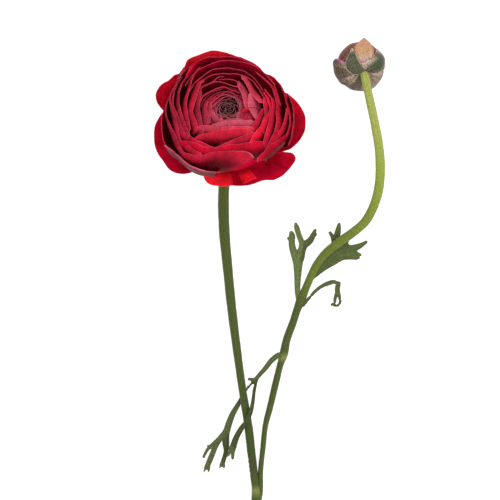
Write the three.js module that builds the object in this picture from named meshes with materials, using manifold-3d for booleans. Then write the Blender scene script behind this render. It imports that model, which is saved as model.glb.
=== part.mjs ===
// A persian buttercup, the double ranunculus: one open red bloom and one closed bud on a forked, cut stem.
// It lies as it was laid down: the back of the bloom, the bud and the cut end touch the surface at z = 0.
// Millimetres. +Z is up, +Y runs from the cut end to the flowers, +X is the side of the bud.
// The origin is the middle of the plant's box, on the surface.

import * as THREE from 'three';
import { mergeVertices } from 'three/addons/utils/BufferGeometryUtils.js';
import { TessellateModifier } from 'three/addons/modifiers/TessellateModifier.js';
import Module from 'manifold-3d';

const wasm = await Module();
wasm.setup();

// Driving dimensions

const gap = 0.3;
const petalThickness = 0.8;
const sepalThickness = 0.8;
const leafThickness = 0.7;
const goldenAngle = THREE.MathUtils.degToRad( 137.508 );

// The bloom: its seat on the stem, its tilt from the vertical towards +Y, and its cups of petals.

const bloomSeat = new THREE.Vector3( - 17.3, 61.5, 13.5 );
const bloomTilt = THREE.MathUtils.degToRad( 22 );
const cupCount = 28;
const cupRadius = { outer: 26.4, inner: 10.2 };
const cupHeight = { outer: 23.5, inner: 29 };
const heartRadius = 7;
const heartPetalCount = 9;
const sepalCount = 5;

// The guard petals round the bloom: azimuth and half width in degrees, reach from the axis, height of the
// rim over the seat, and how far the belly hangs below the seat.

const guardPetals = [
	{ azimuth: 148, halfWidth: 27, reach: 33.2, rim: 19, sag: 6.8 },
	{ azimuth: 192, halfWidth: 26, reach: 31.2, rim: 13, sag: 5.8 },
	{ azimuth: 110, halfWidth: 34, reach: 32.8, rim: 17, sag: 6.9 },
	{ azimuth: 71, halfWidth: 28, reach: 32.8, rim: 12, sag: 7 },
	{ azimuth: 38, halfWidth: 25, reach: 28, rim: 17, sag: 6 },
	{ azimuth: 7, halfWidth: 27, reach: 32.4, rim: 15, sag: 6 },
	{ azimuth: 333, halfWidth: 20, reach: 31, rim: 9, sag: 4.5 },
	{ azimuth: 292, halfWidth: 28, reach: 26, rim: 8, sag: 3 },
	{ azimuth: 244, halfWidth: 29, reach: 26, rim: 9, sag: 4 },
];

// The bud: its seat under the end of its stem, its tilt, and its size.

const budSeat = new THREE.Vector3( 39, 89.7, 17.6 );
const budTurn = new THREE.Euler( THREE.MathUtils.degToRad( 15 ), THREE.MathUtils.degToRad( 10 ), 0 );
const budRadius = 10.6;
const budLength = 17.8;

// Stem routes: x, y and z of the middle, and the radius there, from the cut or the fork to the flower.

const mainStemRoute = [
	[ - 5.8, - 103.4, 1.85, 1.8 ],
	[ - 5.8, - 96, 1.95, 1.85 ],
	[ - 5.8, - 92.5, 2.1, 2.1 ],
	[ - 6, - 87, 2.1, 1.75 ],
	[ - 7, - 80, 2.15, 1.75 ],
	[ - 9.2, - 60.5, 2.5, 1.75 ],
	[ - 11.8, - 44.4, 2.9, 1.62 ],
	[ - 14, - 28.4, 3, 1.75 ],
	[ - 16.5, - 8.3, 3.1, 1.95 ],
	[ - 18, 6.9, 3.1, 2.04 ],
	[ - 19.4, 22.2, 3.2, 2.25 ],
	[ - 19.6, 40, 3.2, 2.3 ],
	[ - 19, 48, 3.2, 2.3 ],
	[ - 18.3, 54.5, 3.9, 2.3 ],
	[ - 17.7, 57.3, 5.5, 2.3 ],
	[ - 17.3, 59.9, 9.6, 2.4 ],
];

const budStemRoute = [
	[ - 5.4, - 94.6, 2.1, 1.15 ],
	[ - 4.3, - 89.5, 2.1, 1.15 ],
	[ - 3.7, - 80, 2.1, 1.1 ],
	[ - 2.8, - 69.1, 2, 1.12 ],
	[ - 2.2, - 60.5, 2, 1.2 ],
	[ - 0.1, - 53, 2.1, 1.34 ],
	[ 2.7, - 41.2, 2.3, 1.43 ],
	[ 4.6, - 33.7, 2.6, 1.45 ],
	[ 5.7, - 30.3, 2.8, 1.8 ],
	[ 7, - 24.1, 3.2, 1.66 ],
	[ 9.7, - 16.6, 3.9, 1.64 ],
	[ 11.8, - 10.2, 4.6, 1.7 ],
	[ 13, - 7.2, 5, 1.92 ],
	[ 15.1, - 2.1, 5.6, 1.65 ],
	[ 17.1, 2.6, 6.2, 1.6 ],
	[ 19.4, 7.4, 6.8, 1.65 ],
	[ 22.8, 12, 7.4, 1.7 ],
	[ 28.8, 17.1, 8.3, 1.89 ],
	[ 35.2, 21.7, 9.3, 1.89 ],
	[ 40, 26, 10.2, 1.93 ],
	[ 42.9, 30.9, 11, 1.95 ],
	[ 45.7, 39.9, 12.6, 2 ],
	[ 46.3, 46.7, 13.9, 2.04 ],
	[ 46.1, 53.6, 15.3, 1.97 ],
	[ 43.9, 67.2, 18.2, 1.87 ],
	[ 41.7, 77, 20.6, 1.78 ],
	[ 40.3, 84, 22, 1.75 ],
	[ 39.6, 87.5, 21.3, 1.75 ],
	[ 39.1, 89.5, 17.9, 1.8 ],
];

// Leaf lobes: x, y and z of the middle line, and the width there. The first lobe starts in the stem.

const upperLeftLeaf = [
	[ [ 12.2, - 8.6, 5.2, 1.7 ], [ 11.7, - 4.6, 5.6, 2 ], [ 11.7, 4.6, 6.3, 3.1 ], [ 11.9, 11.8, 6.8, 4.8 ] ],
	[ [ 11, 9.5, 6.6, 2.8 ], [ 9.2, 16.7, 6.6, 2.6 ], [ 9.1, 20.7, 6.2, 2 ], [ 8.9, 22, 6, 0.7 ] ],
	[ [ 8.9, 18, 6.4, 1.2 ], [ 7.4, 19.4, 6.2, 0.5 ] ],
	[
		[ 12.2, 10, 6.7, 3 ], [ 13.3, 17.3, 7.4, 2.2 ], [ 12, 20.8, 7.4, 2.2 ], [ 11.2, 23.7, 7, 2 ],
		[ 10.8, 25.3, 6.7, 0.7 ],
	],
	[
		[ 13, 10.5, 6.7, 2.6 ], [ 14.4, 16, 7.2, 3 ], [ 16.9, 18.1, 7.6, 2.6 ], [ 18.3, 20.7, 7.6, 1.9 ],
		[ 19.2, 22.9, 7.3, 0.6 ],
	],
	[ [ 17.6, 19.6, 7.6, 1.4 ], [ 19.7, 21, 7.4, 0.5 ] ],
];

const upperRightLeaf = [
	[ [ 17.6, 2.2, 5.2, 1.6 ], [ 22, 6.6, 4.7, 3.4 ], [ 26.4, 11, 4.2, 6.6 ], [ 31, 14, 4, 7 ] ],
	[ [ 29, 11.6, 4, 3.6 ], [ 34.4, 11.8, 3.8, 3.4 ], [ 36.9, 11.1, 3.7, 2 ], [ 37.4, 10.8, 3.6, 0.8 ] ],
	[ [ 33, 12.6, 3.9, 2.8 ], [ 37, 12.3, 3.8, 1.7 ], [ 38.6, 11.9, 3.7, 0.6 ] ],
	[ [ 30, 14, 4, 4 ], [ 35, 14.6, 4.2, 3.2 ], [ 38.3, 16, 4.6, 2 ], [ 40.9, 17.6, 4.9, 0.8 ] ],
	[ [ 29, 14, 4, 3.6 ], [ 31.6, 17.2, 4, 2.6 ], [ 33.8, 20, 4.2, 0.7 ] ],
	[ [ 27, 12, 4.1, 4 ], [ 28.1, 18.6, 4.5, 2.7 ], [ 28.9, 23, 5, 2 ], [ 29.3, 25.5, 5.3, 0.6 ] ],
	[ [ 27.6, 16.4, 4.4, 2.6 ], [ 26.5, 19.6, 4.8, 1.6 ], [ 24.9, 22.1, 5.2, 0.5 ] ],
];

const curledLeaf = [
	[
		[ 13.8, - 9.6, 5, 1 ], [ 16.9, - 5.8, 5.3, 0.9 ], [ 19.6, - 2.9, 5.6, 1 ], [ 22.3, - 1, 5.8, 1.3 ],
		[ 24.9, 0.1, 5.8, 1.7 ], [ 27.1, 0.6, 5.6, 1.4 ], [ 29, - 0.4, 5.2, 1.3 ],
	],
	[ [ 29.1, 0, 5.2, 1.3 ], [ 28.5, - 2.5, 4.6, 2.1 ], [ 28.7, - 4.9, 4, 1.7 ] ],
	[
		[ 28.4, - 3.6, 4.2, 1.2 ], [ 27.6, - 6.3, 3.4, 1 ], [ 27.1, - 8.6, 2.8, 0.7 ],
		[ 26.1, - 9.1, 2.6, 0.6 ],
	],
	[
		[ 28.9, - 3.8, 4.2, 1.1 ], [ 29.5, - 6.3, 3.5, 0.8 ], [ 29.7, - 7.9, 3, 0.8 ], [ 29, - 9.2, 2.6, 0.8 ],
		[ 27.9, - 9.6, 2.4, 0.6 ],
	],
];

const lowerLeaf = [
	[
		[ 5.6, - 30.2, 3.4, 2.2 ], [ 3.8, - 30.4, 4.2, 2.4 ], [ 0.8, - 32.5, 4.4, 2.4 ], [ - 2, - 36, 4.2, 2.1 ],
		[ - 5.1, - 39.5, 3.8, 1.8 ], [ - 6.8, - 41.6, 3.3, 1.6 ],
	],
	[ [ - 6.3, - 41, 3.4, 1.2 ], [ - 8.2, - 40.8, 3.6, 1.4 ], [ - 9.1, - 40.5, 3.7, 0.8 ] ],
	[
		[ - 6.4, - 41, 3.4, 1.1 ], [ - 8.5, - 43.3, 1.3, 0.9 ], [ - 10, - 45.1, 0.1, 0.9 ],
		[ - 12.8, - 50.2, 0.1, 1.8 ], [ - 16.3, - 56.5, 0.4, 2.7 ], [ - 18, - 61.4, 0.7, 3.1 ],
		[ - 18.9, - 65, 0.8, 3 ],
	],
	[
		[ - 18.6, - 62.5, 0.7, 2 ], [ - 21.3, - 65.6, 1.1, 1.8 ], [ - 23.6, - 67.6, 1.4, 1.2 ],
		[ - 26.4, - 70.4, 1.3, 0.8 ], [ - 28.3, - 73.9, 1, 0.5 ],
	],
	[
		[ - 20.4, - 65, 1, 2 ], [ - 22.9, - 69, 1.1, 2.1 ], [ - 24.6, - 72.9, 0.8, 2.5 ],
		[ - 26.4, - 76.7, 0.4, 2.5 ],
	],
	[ [ - 26, - 75.6, 0.5, 1.3 ], [ - 27.8, - 79, 0.2, 0.6 ] ],
	[ [ - 25.8, - 75.6, 0.5, 1.3 ], [ - 25.8, - 78.8, 0.2, 0.6 ] ],
	[
		[ - 18.6, - 63, 0.8, 2.6 ], [ - 18.8, - 68, 0.7, 2.9 ], [ - 18.9, - 71.4, 0.6, 1.5 ],
		[ - 19.7, - 75, 0.4, 1.9 ], [ - 20.2, - 76.8, 0.3, 2.2 ],
	],
	[ [ - 20.2, - 76, 0.3, 1.1 ], [ - 21.2, - 77.7, 0.2, 0.5 ] ],
	[ [ - 20, - 76, 0.3, 1.1 ], [ - 19.4, - 78.3, 0.2, 0.5 ] ],
	[
		[ - 5.9, - 40.8, 3.6, 1.4 ], [ - 6.7, - 45.4, 4.4, 1.1 ], [ - 7.2, - 49.5, 5, 1.3 ],
		[ - 8.2, - 54.4, 5.3, 1.8 ], [ - 10, - 58.6, 5, 1.9 ], [ - 12.1, - 61.4, 4.2, 2.3 ],
		[ - 14.5, - 65.9, 3, 2.7 ], [ - 15.9, - 70.2, 2.3, 3.2 ],
	],
	[ [ - 15.7, - 69.4, 2.4, 2.2 ], [ - 15.9, - 74.5, 1.9, 0.8 ] ],
	[ [ - 16.4, - 69.6, 2.4, 1.8 ], [ - 18, - 73.4, 2, 0.7 ] ],
];

// Materials, one for each kind of tissue

function tissue( color, roughness ) {

	return new THREE.MeshStandardMaterial( { color, roughness, metalness: 0 } );

}

const stemGreen = tissue( 0x5f7034, 0.55 );
const paleStemGreen = tissue( 0x8c9a46, 0.5 );
const leafGreen = tissue( 0x5a6f42, 0.6 );
const calyxGreen = tissue( 0x6d7f42, 0.6 );
const petalRed = tissue( 0xb80a28, 0.45 );
const heartRed = tissue( 0x4c141c, 0.55 );
const budMauve = tissue( 0x7a6255, 0.55 );
const budSepalGreen = tissue( 0x5c6346, 0.6 );

// Solids: a closed geometry becomes a manifold solid for the cuts and joins, and comes back as a geometry.

function solidOf( geometry ) {

	const bare = geometry.clone();
	bare.deleteAttribute( 'normal' );
	bare.deleteAttribute( 'uv' );
	const merged = mergeVertices( bare, 1e-4 );
	return new wasm.Manifold( new wasm.Mesh( {
		numProp: 3,
		vertProperties: Float32Array.from( merged.attributes.position.array ),
		triVerts: Uint32Array.from( merged.index.array )
	} ) );

}

function geometryOf( solid ) {

	const mesh = solid.getMesh();
	const geometry = new THREE.BufferGeometry();
	geometry.setAttribute( 'position', new THREE.Float32BufferAttribute( mesh.vertProperties, 3 ) );
	geometry.setIndex( Array.from( mesh.triVerts ) );
	geometry.computeVertexNormals();
	return geometry;

}

function fused( geometries ) {

	let whole = solidOf( geometries[ 0 ] );
	for ( const geometry of geometries.slice( 1 ) ) {

		whole = whole.add( solidOf( geometry ) );

	}

	return whole;

}

// The largest body of a solid: sealed hollows between petals are filled and loose scraps are dropped.

function mainBody( solid ) {

	const bodies = solid.decompose();
	bodies.sort( ( a, b ) => b.volume() - a.volume() );
	return bodies[ 0 ];

}

function namedMesh( name, geometry, material ) {

	const mesh = new THREE.Mesh( geometry, material );
	mesh.name = name;
	return mesh;

}

// A thin closed blade. place( across, along, point ) sets its middle surface, across from -1 to 1 and along
// from 0 to 1. Both faces carry the same triangles, so they stay parallel where the blade is waved.

function bladeGeometry( columns, rows, thickness, place ) {

	const sheet = new THREE.PlaneGeometry( 2, 1, columns, rows );
	const grid = sheet.attributes.position;
	const front = [];
	const back = [];
	const point = new THREE.Vector3();
	const left = new THREE.Vector3();
	const right = new THREE.Vector3();
	const below = new THREE.Vector3();
	const above = new THREE.Vector3();
	const normal = new THREE.Vector3();
	const step = 0.02;

	for ( let i = 0; i < grid.count; i ++ ) {

		const across = grid.getX( i );
		const along = grid.getY( i ) + 0.5;
		place( across, along, point );
		place( across - step, along, left );
		place( across + step, along, right );
		place( across, along - step, below );
		place( across, along + step, above );
		normal.crossVectors( right.sub( left ), above.sub( below ) ).setLength( thickness / 2 );
		front.push( point.x + normal.x, point.y + normal.y, point.z + normal.z );
		back.push( point.x - normal.x, point.y - normal.y, point.z - normal.z );

	}

	const faces = Array.from( sheet.index.array );
	const count = grid.count;
	const edges = new Set();
	const index = [];

	for ( let i = 0; i < faces.length; i += 3 ) {

		const [ a, b, c ] = faces.slice( i, i + 3 );
		index.push( a, b, c, a + count, c + count, b + count );
		edges.add( `${ a } ${ b }` ).add( `${ b } ${ c }` ).add( `${ c } ${ a }` );

	}

	for ( const edge of edges ) {

		const [ a, b ] = edge.split( ' ' ).map( Number );
		if ( ! edges.has( `${ b } ${ a }` ) ) {

			index.push( b, a, a + count, b, a + count, b + count );

		}

	}

	const geometry = new THREE.BufferGeometry();
	geometry.setAttribute( 'position', new THREE.Float32BufferAttribute( [ ...front, ...back ], 3 ) );
	geometry.setIndex( index );
	return geometry;

}

// A solid turned round the z axis from points of its profile, smoothed by a spline.

function turned( points, sides, divisions ) {

	const profile = new THREE.SplineCurve( points.map( ( [ r, z ] ) => new THREE.Vector2( r, z ) ) );
	const outline = profile.getPoints( divisions );
	outline.forEach( ( p ) => p.setX( Math.max( p.x, 0 ) ) );
	outline[ 0 ].setX( 0 );
	outline[ divisions ].setX( 0 );
	return new THREE.LatheGeometry( outline, sides ).rotateX( Math.PI / 2 );

}

// A round stem along a route of x, y, z and radius, with flat ends.

function stemGeometry( route, sides, rows, extraRadius = 0 ) {

	const path = new THREE.CatmullRomCurve3( route.map( ( [ x, y, z ] ) => new THREE.Vector3( x, y, z ) ) );
	const frames = path.computeFrenetFrames( rows, false );
	const tube = new THREE.CylinderGeometry( 1, 1, 1, sides, rows );
	const position = tube.attributes.position;
	const point = new THREE.Vector3();
	const radii = route.map( ( [ , , , radius ] ) => radius );

	for ( let i = 0; i < position.count; i ++ ) {

		const share = position.getY( i ) + 0.5;
		const row = Math.round( share * rows );
		const place = path.getUtoTmapping( share ) * ( route.length - 1 );
		const near = Math.min( Math.floor( place ), route.length - 2 );
		const radius = THREE.MathUtils.lerp( radii[ near ], radii[ near + 1 ], place - near ) + extraRadius;
		path.getPointAt( share, point );
		point.addScaledVector( frames.normals[ row ], position.getX( i ) * radius );
		point.addScaledVector( frames.binormals[ row ], - position.getZ( i ) * radius );
		position.setXYZ( i, point.x, point.y, point.z );

	}

	return tube;

}

// A cut leaf: its lobes are joined flat, the sheet is divided until no edge is longer than leafEdge, and
// each point is then raised to the height that the nearest middle lines have there.

const leafEdge = 5;
const leafPasses = 8;

function leafSolid( lobes ) {

	const prisms = [];
	const spine = [];

	for ( const lobe of lobes ) {

		const line = new THREE.SplineCurve( lobe.map( ( [ x, y ] ) => new THREE.Vector2( x, y ) ) );
		const level = new THREE.SplineCurve( lobe.map( ( [ , , z, width ] ) => new THREE.Vector2( z, width ) ) );
		const steps = lobe.length > 2 ? ( lobe.length - 1 ) * 2 : 1;
		const leftEdge = [];
		const rightEdge = [];

		for ( let i = 0; i <= steps; i ++ ) {

			const middle = line.getPoint( i / steps );
			const along = line.getTangent( i / steps );
			const { x: height, y: width } = level.getPoint( i / steps );
			const side = new THREE.Vector2( - along.y, along.x ).multiplyScalar( width / 2 );
			leftEdge.push( middle.clone().add( side ) );
			rightEdge.unshift( middle.clone().sub( side ) );
			spine.push( new THREE.Vector3( middle.x, middle.y, height ) );

		}

		const outline = new THREE.Shape( [ ...leftEdge, ...rightEdge ] );
		prisms.push( new THREE.ExtrudeGeometry( outline, { depth: leafThickness, bevelEnabled: false } ) );

	}

	const flat = geometryOf( fused( prisms ) );
	flat.deleteAttribute( 'normal' );
	const fine = new TessellateModifier( leafEdge, leafPasses ).modify( flat );
	const position = fine.attributes.position;

	for ( let i = 0; i < position.count; i ++ ) {

		let weights = 0;
		let heights = 0;

		for ( const { x, y, z } of spine ) {

			const distance = Math.hypot( position.getX( i ) - x, position.getY( i ) - y );
			const weight = 1 / ( distance ** 3 + 0.02 );
			weights += weight;
			heights += weight * z;

		}

		position.setZ( i, position.getZ( i ) + heights / weights );

	}

	return solidOf( fine );

}

// A petal or sepal in the frame of its flower: a side profile of radius and height turned to an azimuth.
// The petal narrows to its root, its rim falls away to both corners, and one side lies outside the other.
// Past its root and its rim the middle surface is taken to run on outwards, which slants both end faces.

const overrun = 10;

function petalGeometry( petal ) {

	const { azimuth, halfWidth, profile, columns, rows, thickness } = petal;
	const { rootShare = 0.3, rimShare = 0.8, corner = 0.25, spiral = 0.04, wave = 0, phase = 0 } = petal;
	const side = new THREE.SplineCurve( profile.map( ( [ r, z ] ) => new THREE.Vector2( r, z ) ) );

	return bladeGeometry( columns, rows, thickness, ( across, along, point ) => {

		const edge = Math.min( Math.abs( across ), 1 ) ** 2;
		const share = THREE.MathUtils.clamp( along, 0, 1 ) * ( 1 - corner * edge );
		const { x: radius, y: height } = side.getPoint( share );
		const opening = Math.sin( Math.min( along * 1.5, 1 ) * Math.PI / 2 );
		const closing = ( 1 - rimShare ) * Math.max( along - 0.6, 0 ) ** 2 / 0.16;
		const spread = rootShare + ( 1 - rootShare ) * opening - closing;
		const angle = azimuth + across * halfWidth * spread;
		const past = along - THREE.MathUtils.clamp( along, 0, 1 );
		const reach = radius * ( 1 + spiral * across ) + past * overrun;
		const lift = height + wave * Math.sin( across * 3.2 + phase ) * along ** 2;
		point.set( reach * Math.cos( angle ), reach * Math.sin( angle ), lift );

	} );

}

function repeated( count, shape ) {

	return Array.from( { length: count }, ( _, order ) => shape( order ) );

}

// The bloom

function guardPetal( { azimuth, halfWidth, reach, rim, sag }, order ) {

	return petalGeometry( {
		azimuth: THREE.MathUtils.degToRad( azimuth ),
		halfWidth: THREE.MathUtils.degToRad( halfWidth ),
		profile: [
			[ 1.5, - 0.8 ],
			[ 5, - 2.4 ],
			[ reach * 0.32, - sag * 0.75 ],
			[ reach * 0.56, - sag ],
			[ reach * 0.8, - sag * 0.6 ],
			[ reach * 0.96, rim * 0.3 ],
			[ reach, rim ],
		],
		columns: 5,
		rows: 5,
		thickness: petalThickness,
		corner: 0.22,
		spiral: order % 2 ? 0.05 : - 0.05,
		wave: 0.9,
		phase: order * 1.7
	} );

}

// Cups are set by the golden angle, each a little nearer the axis and higher than the last. On the side
// towards the stem they curl in, and on the far side they stand open.

function cupPetal( order ) {

	const inward = order / ( cupCount - 1 );
	const radius = THREE.MathUtils.lerp( cupRadius.outer, cupRadius.inner, inward ** 0.95 );
	const height = THREE.MathUtils.lerp( cupHeight.outer, cupHeight.inner, inward );
	const azimuth = 0.4 + order * goldenAngle;
	const curl = 0.84 + 0.1 * Math.sin( azimuth );

	return petalGeometry( {
		azimuth,
		halfWidth: THREE.MathUtils.degToRad( THREE.MathUtils.lerp( 38, 56, inward ) ),
		profile: [
			[ radius * 0.62, THREE.MathUtils.lerp( 3, 16, inward ) ],
			[ radius * 0.94, height * THREE.MathUtils.lerp( 0.32, 0.68, inward ) ],
			[ radius, height * THREE.MathUtils.lerp( 0.6, 0.8, inward ) ],
			[ radius * ( 1 + curl ) / 2, height * THREE.MathUtils.lerp( 0.85, 0.92, inward ) ],
			[ radius * curl, height ],
		],
		columns: 4,
		rows: 3,
		thickness: petalThickness,
		corner: 0.12,
		spiral: 0.045,
		wave: 0.5,
		phase: order * 2.3
	} );

}

const bloomCore = turned( [
	[ 0, - 2.4 ], [ 3.5, - 2.4 ], [ 7, - 3.4 ], [ 11, - 2.8 ], [ 17, 0.5 ], [ 20.5, 7 ],
	[ 20, 14 ], [ 16.5, 19.5 ], [ 11, 22.5 ], [ 5, 23.5 ], [ 0, 23.5 ],
], 20, 20 );

function heartRoom( clearance ) {

	return turned( [
		[ 0, 20 - clearance ], [ heartRadius * 0.6, 20.5 - clearance ], [ heartRadius * 0.9 + clearance, 23 ],
		[ heartRadius + clearance, 27 ], [ heartRadius + clearance, 33 ], [ heartRadius - 2, 36 ], [ 0, 36 ],
	], 12, 8 );

}

function heartPetal( order ) {

	const inward = order / ( heartPetalCount - 1 );
	const radius = THREE.MathUtils.lerp( heartRadius - 0.6, 1.6, inward );

	return petalGeometry( {
		azimuth: 1.1 + order * goldenAngle,
		halfWidth: THREE.MathUtils.degToRad( 62 ),
		profile: [
			[ radius * 0.8, 22 ],
			[ radius, 25.5 ],
			[ radius * 0.95, 28.2 ],
			[ radius * 0.8, 29.6 + inward * 1.2 ],
		],
		columns: 4,
		rows: 2,
		thickness: petalThickness,
		rootShare: 0.8,
		corner: 0.12,
		spiral: 0.1
	} );

}

const heartCore = turned( [
	[ 0, 20.4 ], [ heartRadius * 0.55, 20.9 ], [ heartRadius * 0.85, 23.3 ], [ heartRadius * 0.85, 26 ],
	[ heartRadius * 0.6, 28 ], [ 2, 29 ], [ 0, 29.2 ],
], 10, 8 );

const bloom = new THREE.Group();
bloom.position.copy( bloomSeat );
bloom.rotation.x = - bloomTilt;
bloom.updateMatrix();

// What would lie under the surface is cut away, in the frame of each flower.

function underSurface( flowerMatrix ) {

	const depth = 40;
	const block = new THREE.BoxGeometry( 300, 400, depth ).translate( 0, 0, - depth / 2 );
	return solidOf( block.applyMatrix4( flowerMatrix.clone().invert() ) );

}

const bloomPetals = fused( [
	bloomCore,
	...guardPetals.map( guardPetal ),
	...repeated( cupCount, cupPetal ),
] ).subtract( solidOf( heartRoom( gap ) ) ).subtract( underSurface( bloom.matrix ) );

const bloomHeart = fused( [
	heartCore,
	...repeated( heartPetalCount, heartPetal ),
] ).intersect( solidOf( heartRoom( 0 ) ) );

const bloomUnderside = - 4.9;
const receptacle = turned( [
	[ 0, bloomUnderside ], [ 2.6, bloomUnderside ], [ 3.9, - 4.6 ],
	[ 4.3, - 3.4 ], [ 3.2, - 2.7 ], [ 0, - 2.7 ],
], 10, 8 );

function bloomSepal( order ) {

	return petalGeometry( {
		azimuth: 0.3 + order * Math.PI * 2 / sepalCount,
		halfWidth: THREE.MathUtils.degToRad( 34 ),
		profile: [ [ 2.2, - 3.8 ], [ 5.5, - 4.6 ], [ 8.5, - 6 ], [ 11, - 7.8 ] ],
		columns: 4,
		rows: 3,
		thickness: sepalThickness,
		rootShare: 0.7,
		corner: 0.45,
		spiral: 0
	} );

}

const bloomCalyx = fused( [ receptacle, ...repeated( sepalCount, bloomSepal ) ] );

bloom.add(
	namedMesh( 'flower_petals', geometryOf( mainBody( bloomPetals ) ), petalRed ),
	namedMesh( 'flower_heart', geometryOf( mainBody( bloomHeart ) ), heartRed ),
	namedMesh( 'flower_calyx', geometryOf( mainBody( bloomCalyx ) ), calyxGreen )
);

// The bud hangs face down from the end of its stem, closed. Five sepals stand round its neck: two short
// green ones on the upper side, and three broad brown ones that wrap the ball. Petals show between them.

const budPetalRule = [
	{
		azimuth: 84, halfWidth: 32,
		profile: [ [ 1.5, - 2.2 ], [ 6.2, - 2.2 ], [ 9.8, - 5 ], [ 11.6, - 8.2 ] ],
		rimShare: 0.1,
	},
	{
		azimuth: 140, halfWidth: 36,
		profile: [ [ 1.5, - 2.4 ], [ 6.3, - 2.8 ], [ 9.4, - 7 ], [ 8.2, - 12.5 ], [ 4, - 16.8 ] ],
	},
	{
		azimuth: 28, halfWidth: 36,
		profile: [ [ 1.5, - 2.4 ], [ 6.3, - 2.8 ], [ 9.5, - 7 ], [ 8.2, - 12.5 ], [ 4, - 16.8 ] ],
	},
	{
		azimuth: 232, halfWidth: 40,
		profile: [ [ 1.5, - 2.4 ], [ 6.3, - 3 ], [ 9.4, - 8 ], [ 8.4, - 13 ], [ 4, - 17 ] ],
	},
	{
		azimuth: 300, halfWidth: 40,
		profile: [ [ 1.5, - 2.4 ], [ 6.3, - 3 ], [ 9.4, - 8 ], [ 8.4, - 13 ], [ 4, - 17 ] ],
	},
];

function budPetal( { azimuth, halfWidth, profile, rimShare = 0.5 }, order, clearance ) {

	return petalGeometry( {
		azimuth: THREE.MathUtils.degToRad( azimuth ),
		halfWidth: THREE.MathUtils.degToRad( halfWidth ),
		profile,
		columns: 4,
		rows: 4,
		thickness: petalThickness + 2 * clearance,
		rimShare,
		corner: 0.15,
		spiral: order % 2 ? 0.05 : - 0.05
	} );

}

function budBall( clearance ) {

	const wide = budRadius - 1.9 + clearance;
	const core = turned( [
		[ 0, - budLength - clearance ],
		[ wide * 0.6, - budLength * 0.93 - clearance ],
		[ wide * 0.96, - budLength * 0.68 ],
		[ wide, - budLength * 0.42 ],
		[ wide * 0.72, - budLength * 0.2 + clearance ],
		[ 0, - 1.8 + clearance ],
	], 12, 8 );
	return fused( [ core, ...budPetalRule.map( ( rule, order ) => budPetal( rule, order, clearance ) ) ] );

}

const budSepalRule = [
	{
		azimuth: 118, halfWidth: 28,
		profile: [ [ 1.4, - 0.9 ], [ 4.4, - 0.9 ], [ 7.6, - 1.9 ], [ 9.2, - 3.9 ] ],
		rimShare: 0.1,
	},
	{
		azimuth: 48, halfWidth: 40,
		profile: [ [ 1.4, - 0.9 ], [ 5.2, - 0.9 ], [ 9.2, - 2.9 ], [ 10.5, - 5.6 ] ],
		rimShare: 0.2,
	},
	{
		azimuth: 193, halfWidth: 37,
		profile: [ [ 1.4, - 0.9 ], [ 6.1, - 1.3 ], [ 10.4, - 5 ], [ 10.6, - 9.5 ], [ 8.5, - 13 ] ],
	},
	{
		azimuth: 255, halfWidth: 35,
		profile: [ [ 1.4, - 0.9 ], [ 6, - 1.3 ], [ 9.9, - 5 ], [ 10.3, - 9.5 ], [ 8.3, - 13 ] ],
	},
	{
		azimuth: 323, halfWidth: 36,
		profile: [ [ 1.4, - 0.9 ], [ 6, - 1.3 ], [ 10.1, - 5 ], [ 10.3, - 9 ], [ 8.6, - 12.5 ] ],
	},
];

function budSepal( { azimuth, halfWidth, profile, rimShare = 0.5 }, order ) {

	return petalGeometry( {
		azimuth: THREE.MathUtils.degToRad( azimuth ),
		halfWidth: THREE.MathUtils.degToRad( halfWidth ),
		profile,
		columns: 4,
		rows: 4,
		thickness: sepalThickness,
		rootShare: 0.6,
		rimShare,
		corner: 0.2,
		spiral: order % 2 ? 0.04 : - 0.04
	} );

}

const budTop = 0.8;
const budNeck = turned( [
	[ 0, - 1.3 ], [ 2.2, - 1.3 ], [ 2.9, - 0.4 ], [ 2.3, 0.6 ], [ 0, budTop ],
], 10, 6 );

const bud = new THREE.Group();
bud.position.copy( budSeat );
bud.rotation.copy( budTurn );
bud.updateMatrix();

const underBud = underSurface( bud.matrix );
const budPetals = budBall( 0 ).subtract( underBud );
const wholeCalyx = fused( [ budNeck, ...budSepalRule.map( budSepal ) ] );
const budCalyx = wholeCalyx.subtract( budBall( gap ) ).subtract( underBud );

bud.add(
	namedMesh( 'bud_petals', geometryOf( mainBody( budPetals ) ), budMauve ),
	namedMesh( 'bud_sepals', geometryOf( mainBody( budCalyx ) ), budSepalGreen )
);

// Stems and leaves. A stem ends square, a small gap short of the flower that it carries, and a branch or
// leaf stops the same gap short of the stem that carries it.

const blockHeight = 8;
const blockSide = 12;

function endBlock( middle, flowerMatrix ) {

	const block = new THREE.BoxGeometry( blockSide, blockSide, blockHeight ).translate( 0, 0, middle );
	return solidOf( block.applyMatrix4( flowerMatrix ) );

}

const seatRoom = endBlock( bloomUnderside - gap + blockHeight / 2, bloom.matrix );
const neckRoom = endBlock( budTop + gap - blockHeight / 2, bud.matrix );

const stemSides = 9;
const mainStemRows = 40;
const budStemRows = 52;
const mainStemRoom = solidOf( stemGeometry( mainStemRoute, stemSides, mainStemRows, gap ) );
const budStemRoom = solidOf( stemGeometry( budStemRoute, stemSides, budStemRows, gap ) );
const mainStem = solidOf( stemGeometry( mainStemRoute, stemSides, mainStemRows ) ).subtract( seatRoom );
const wholeBudStem = solidOf( stemGeometry( budStemRoute, stemSides, budStemRows ) );
const budStem = wholeBudStem.subtract( mainStemRoom ).subtract( neckRoom );

function leafMesh( name, lobes ) {

	const free = leafSolid( lobes ).subtract( budStemRoom ).subtract( mainStemRoom );
	return namedMesh( name, geometryOf( mainBody( free ) ), leafGreen );

}

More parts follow.
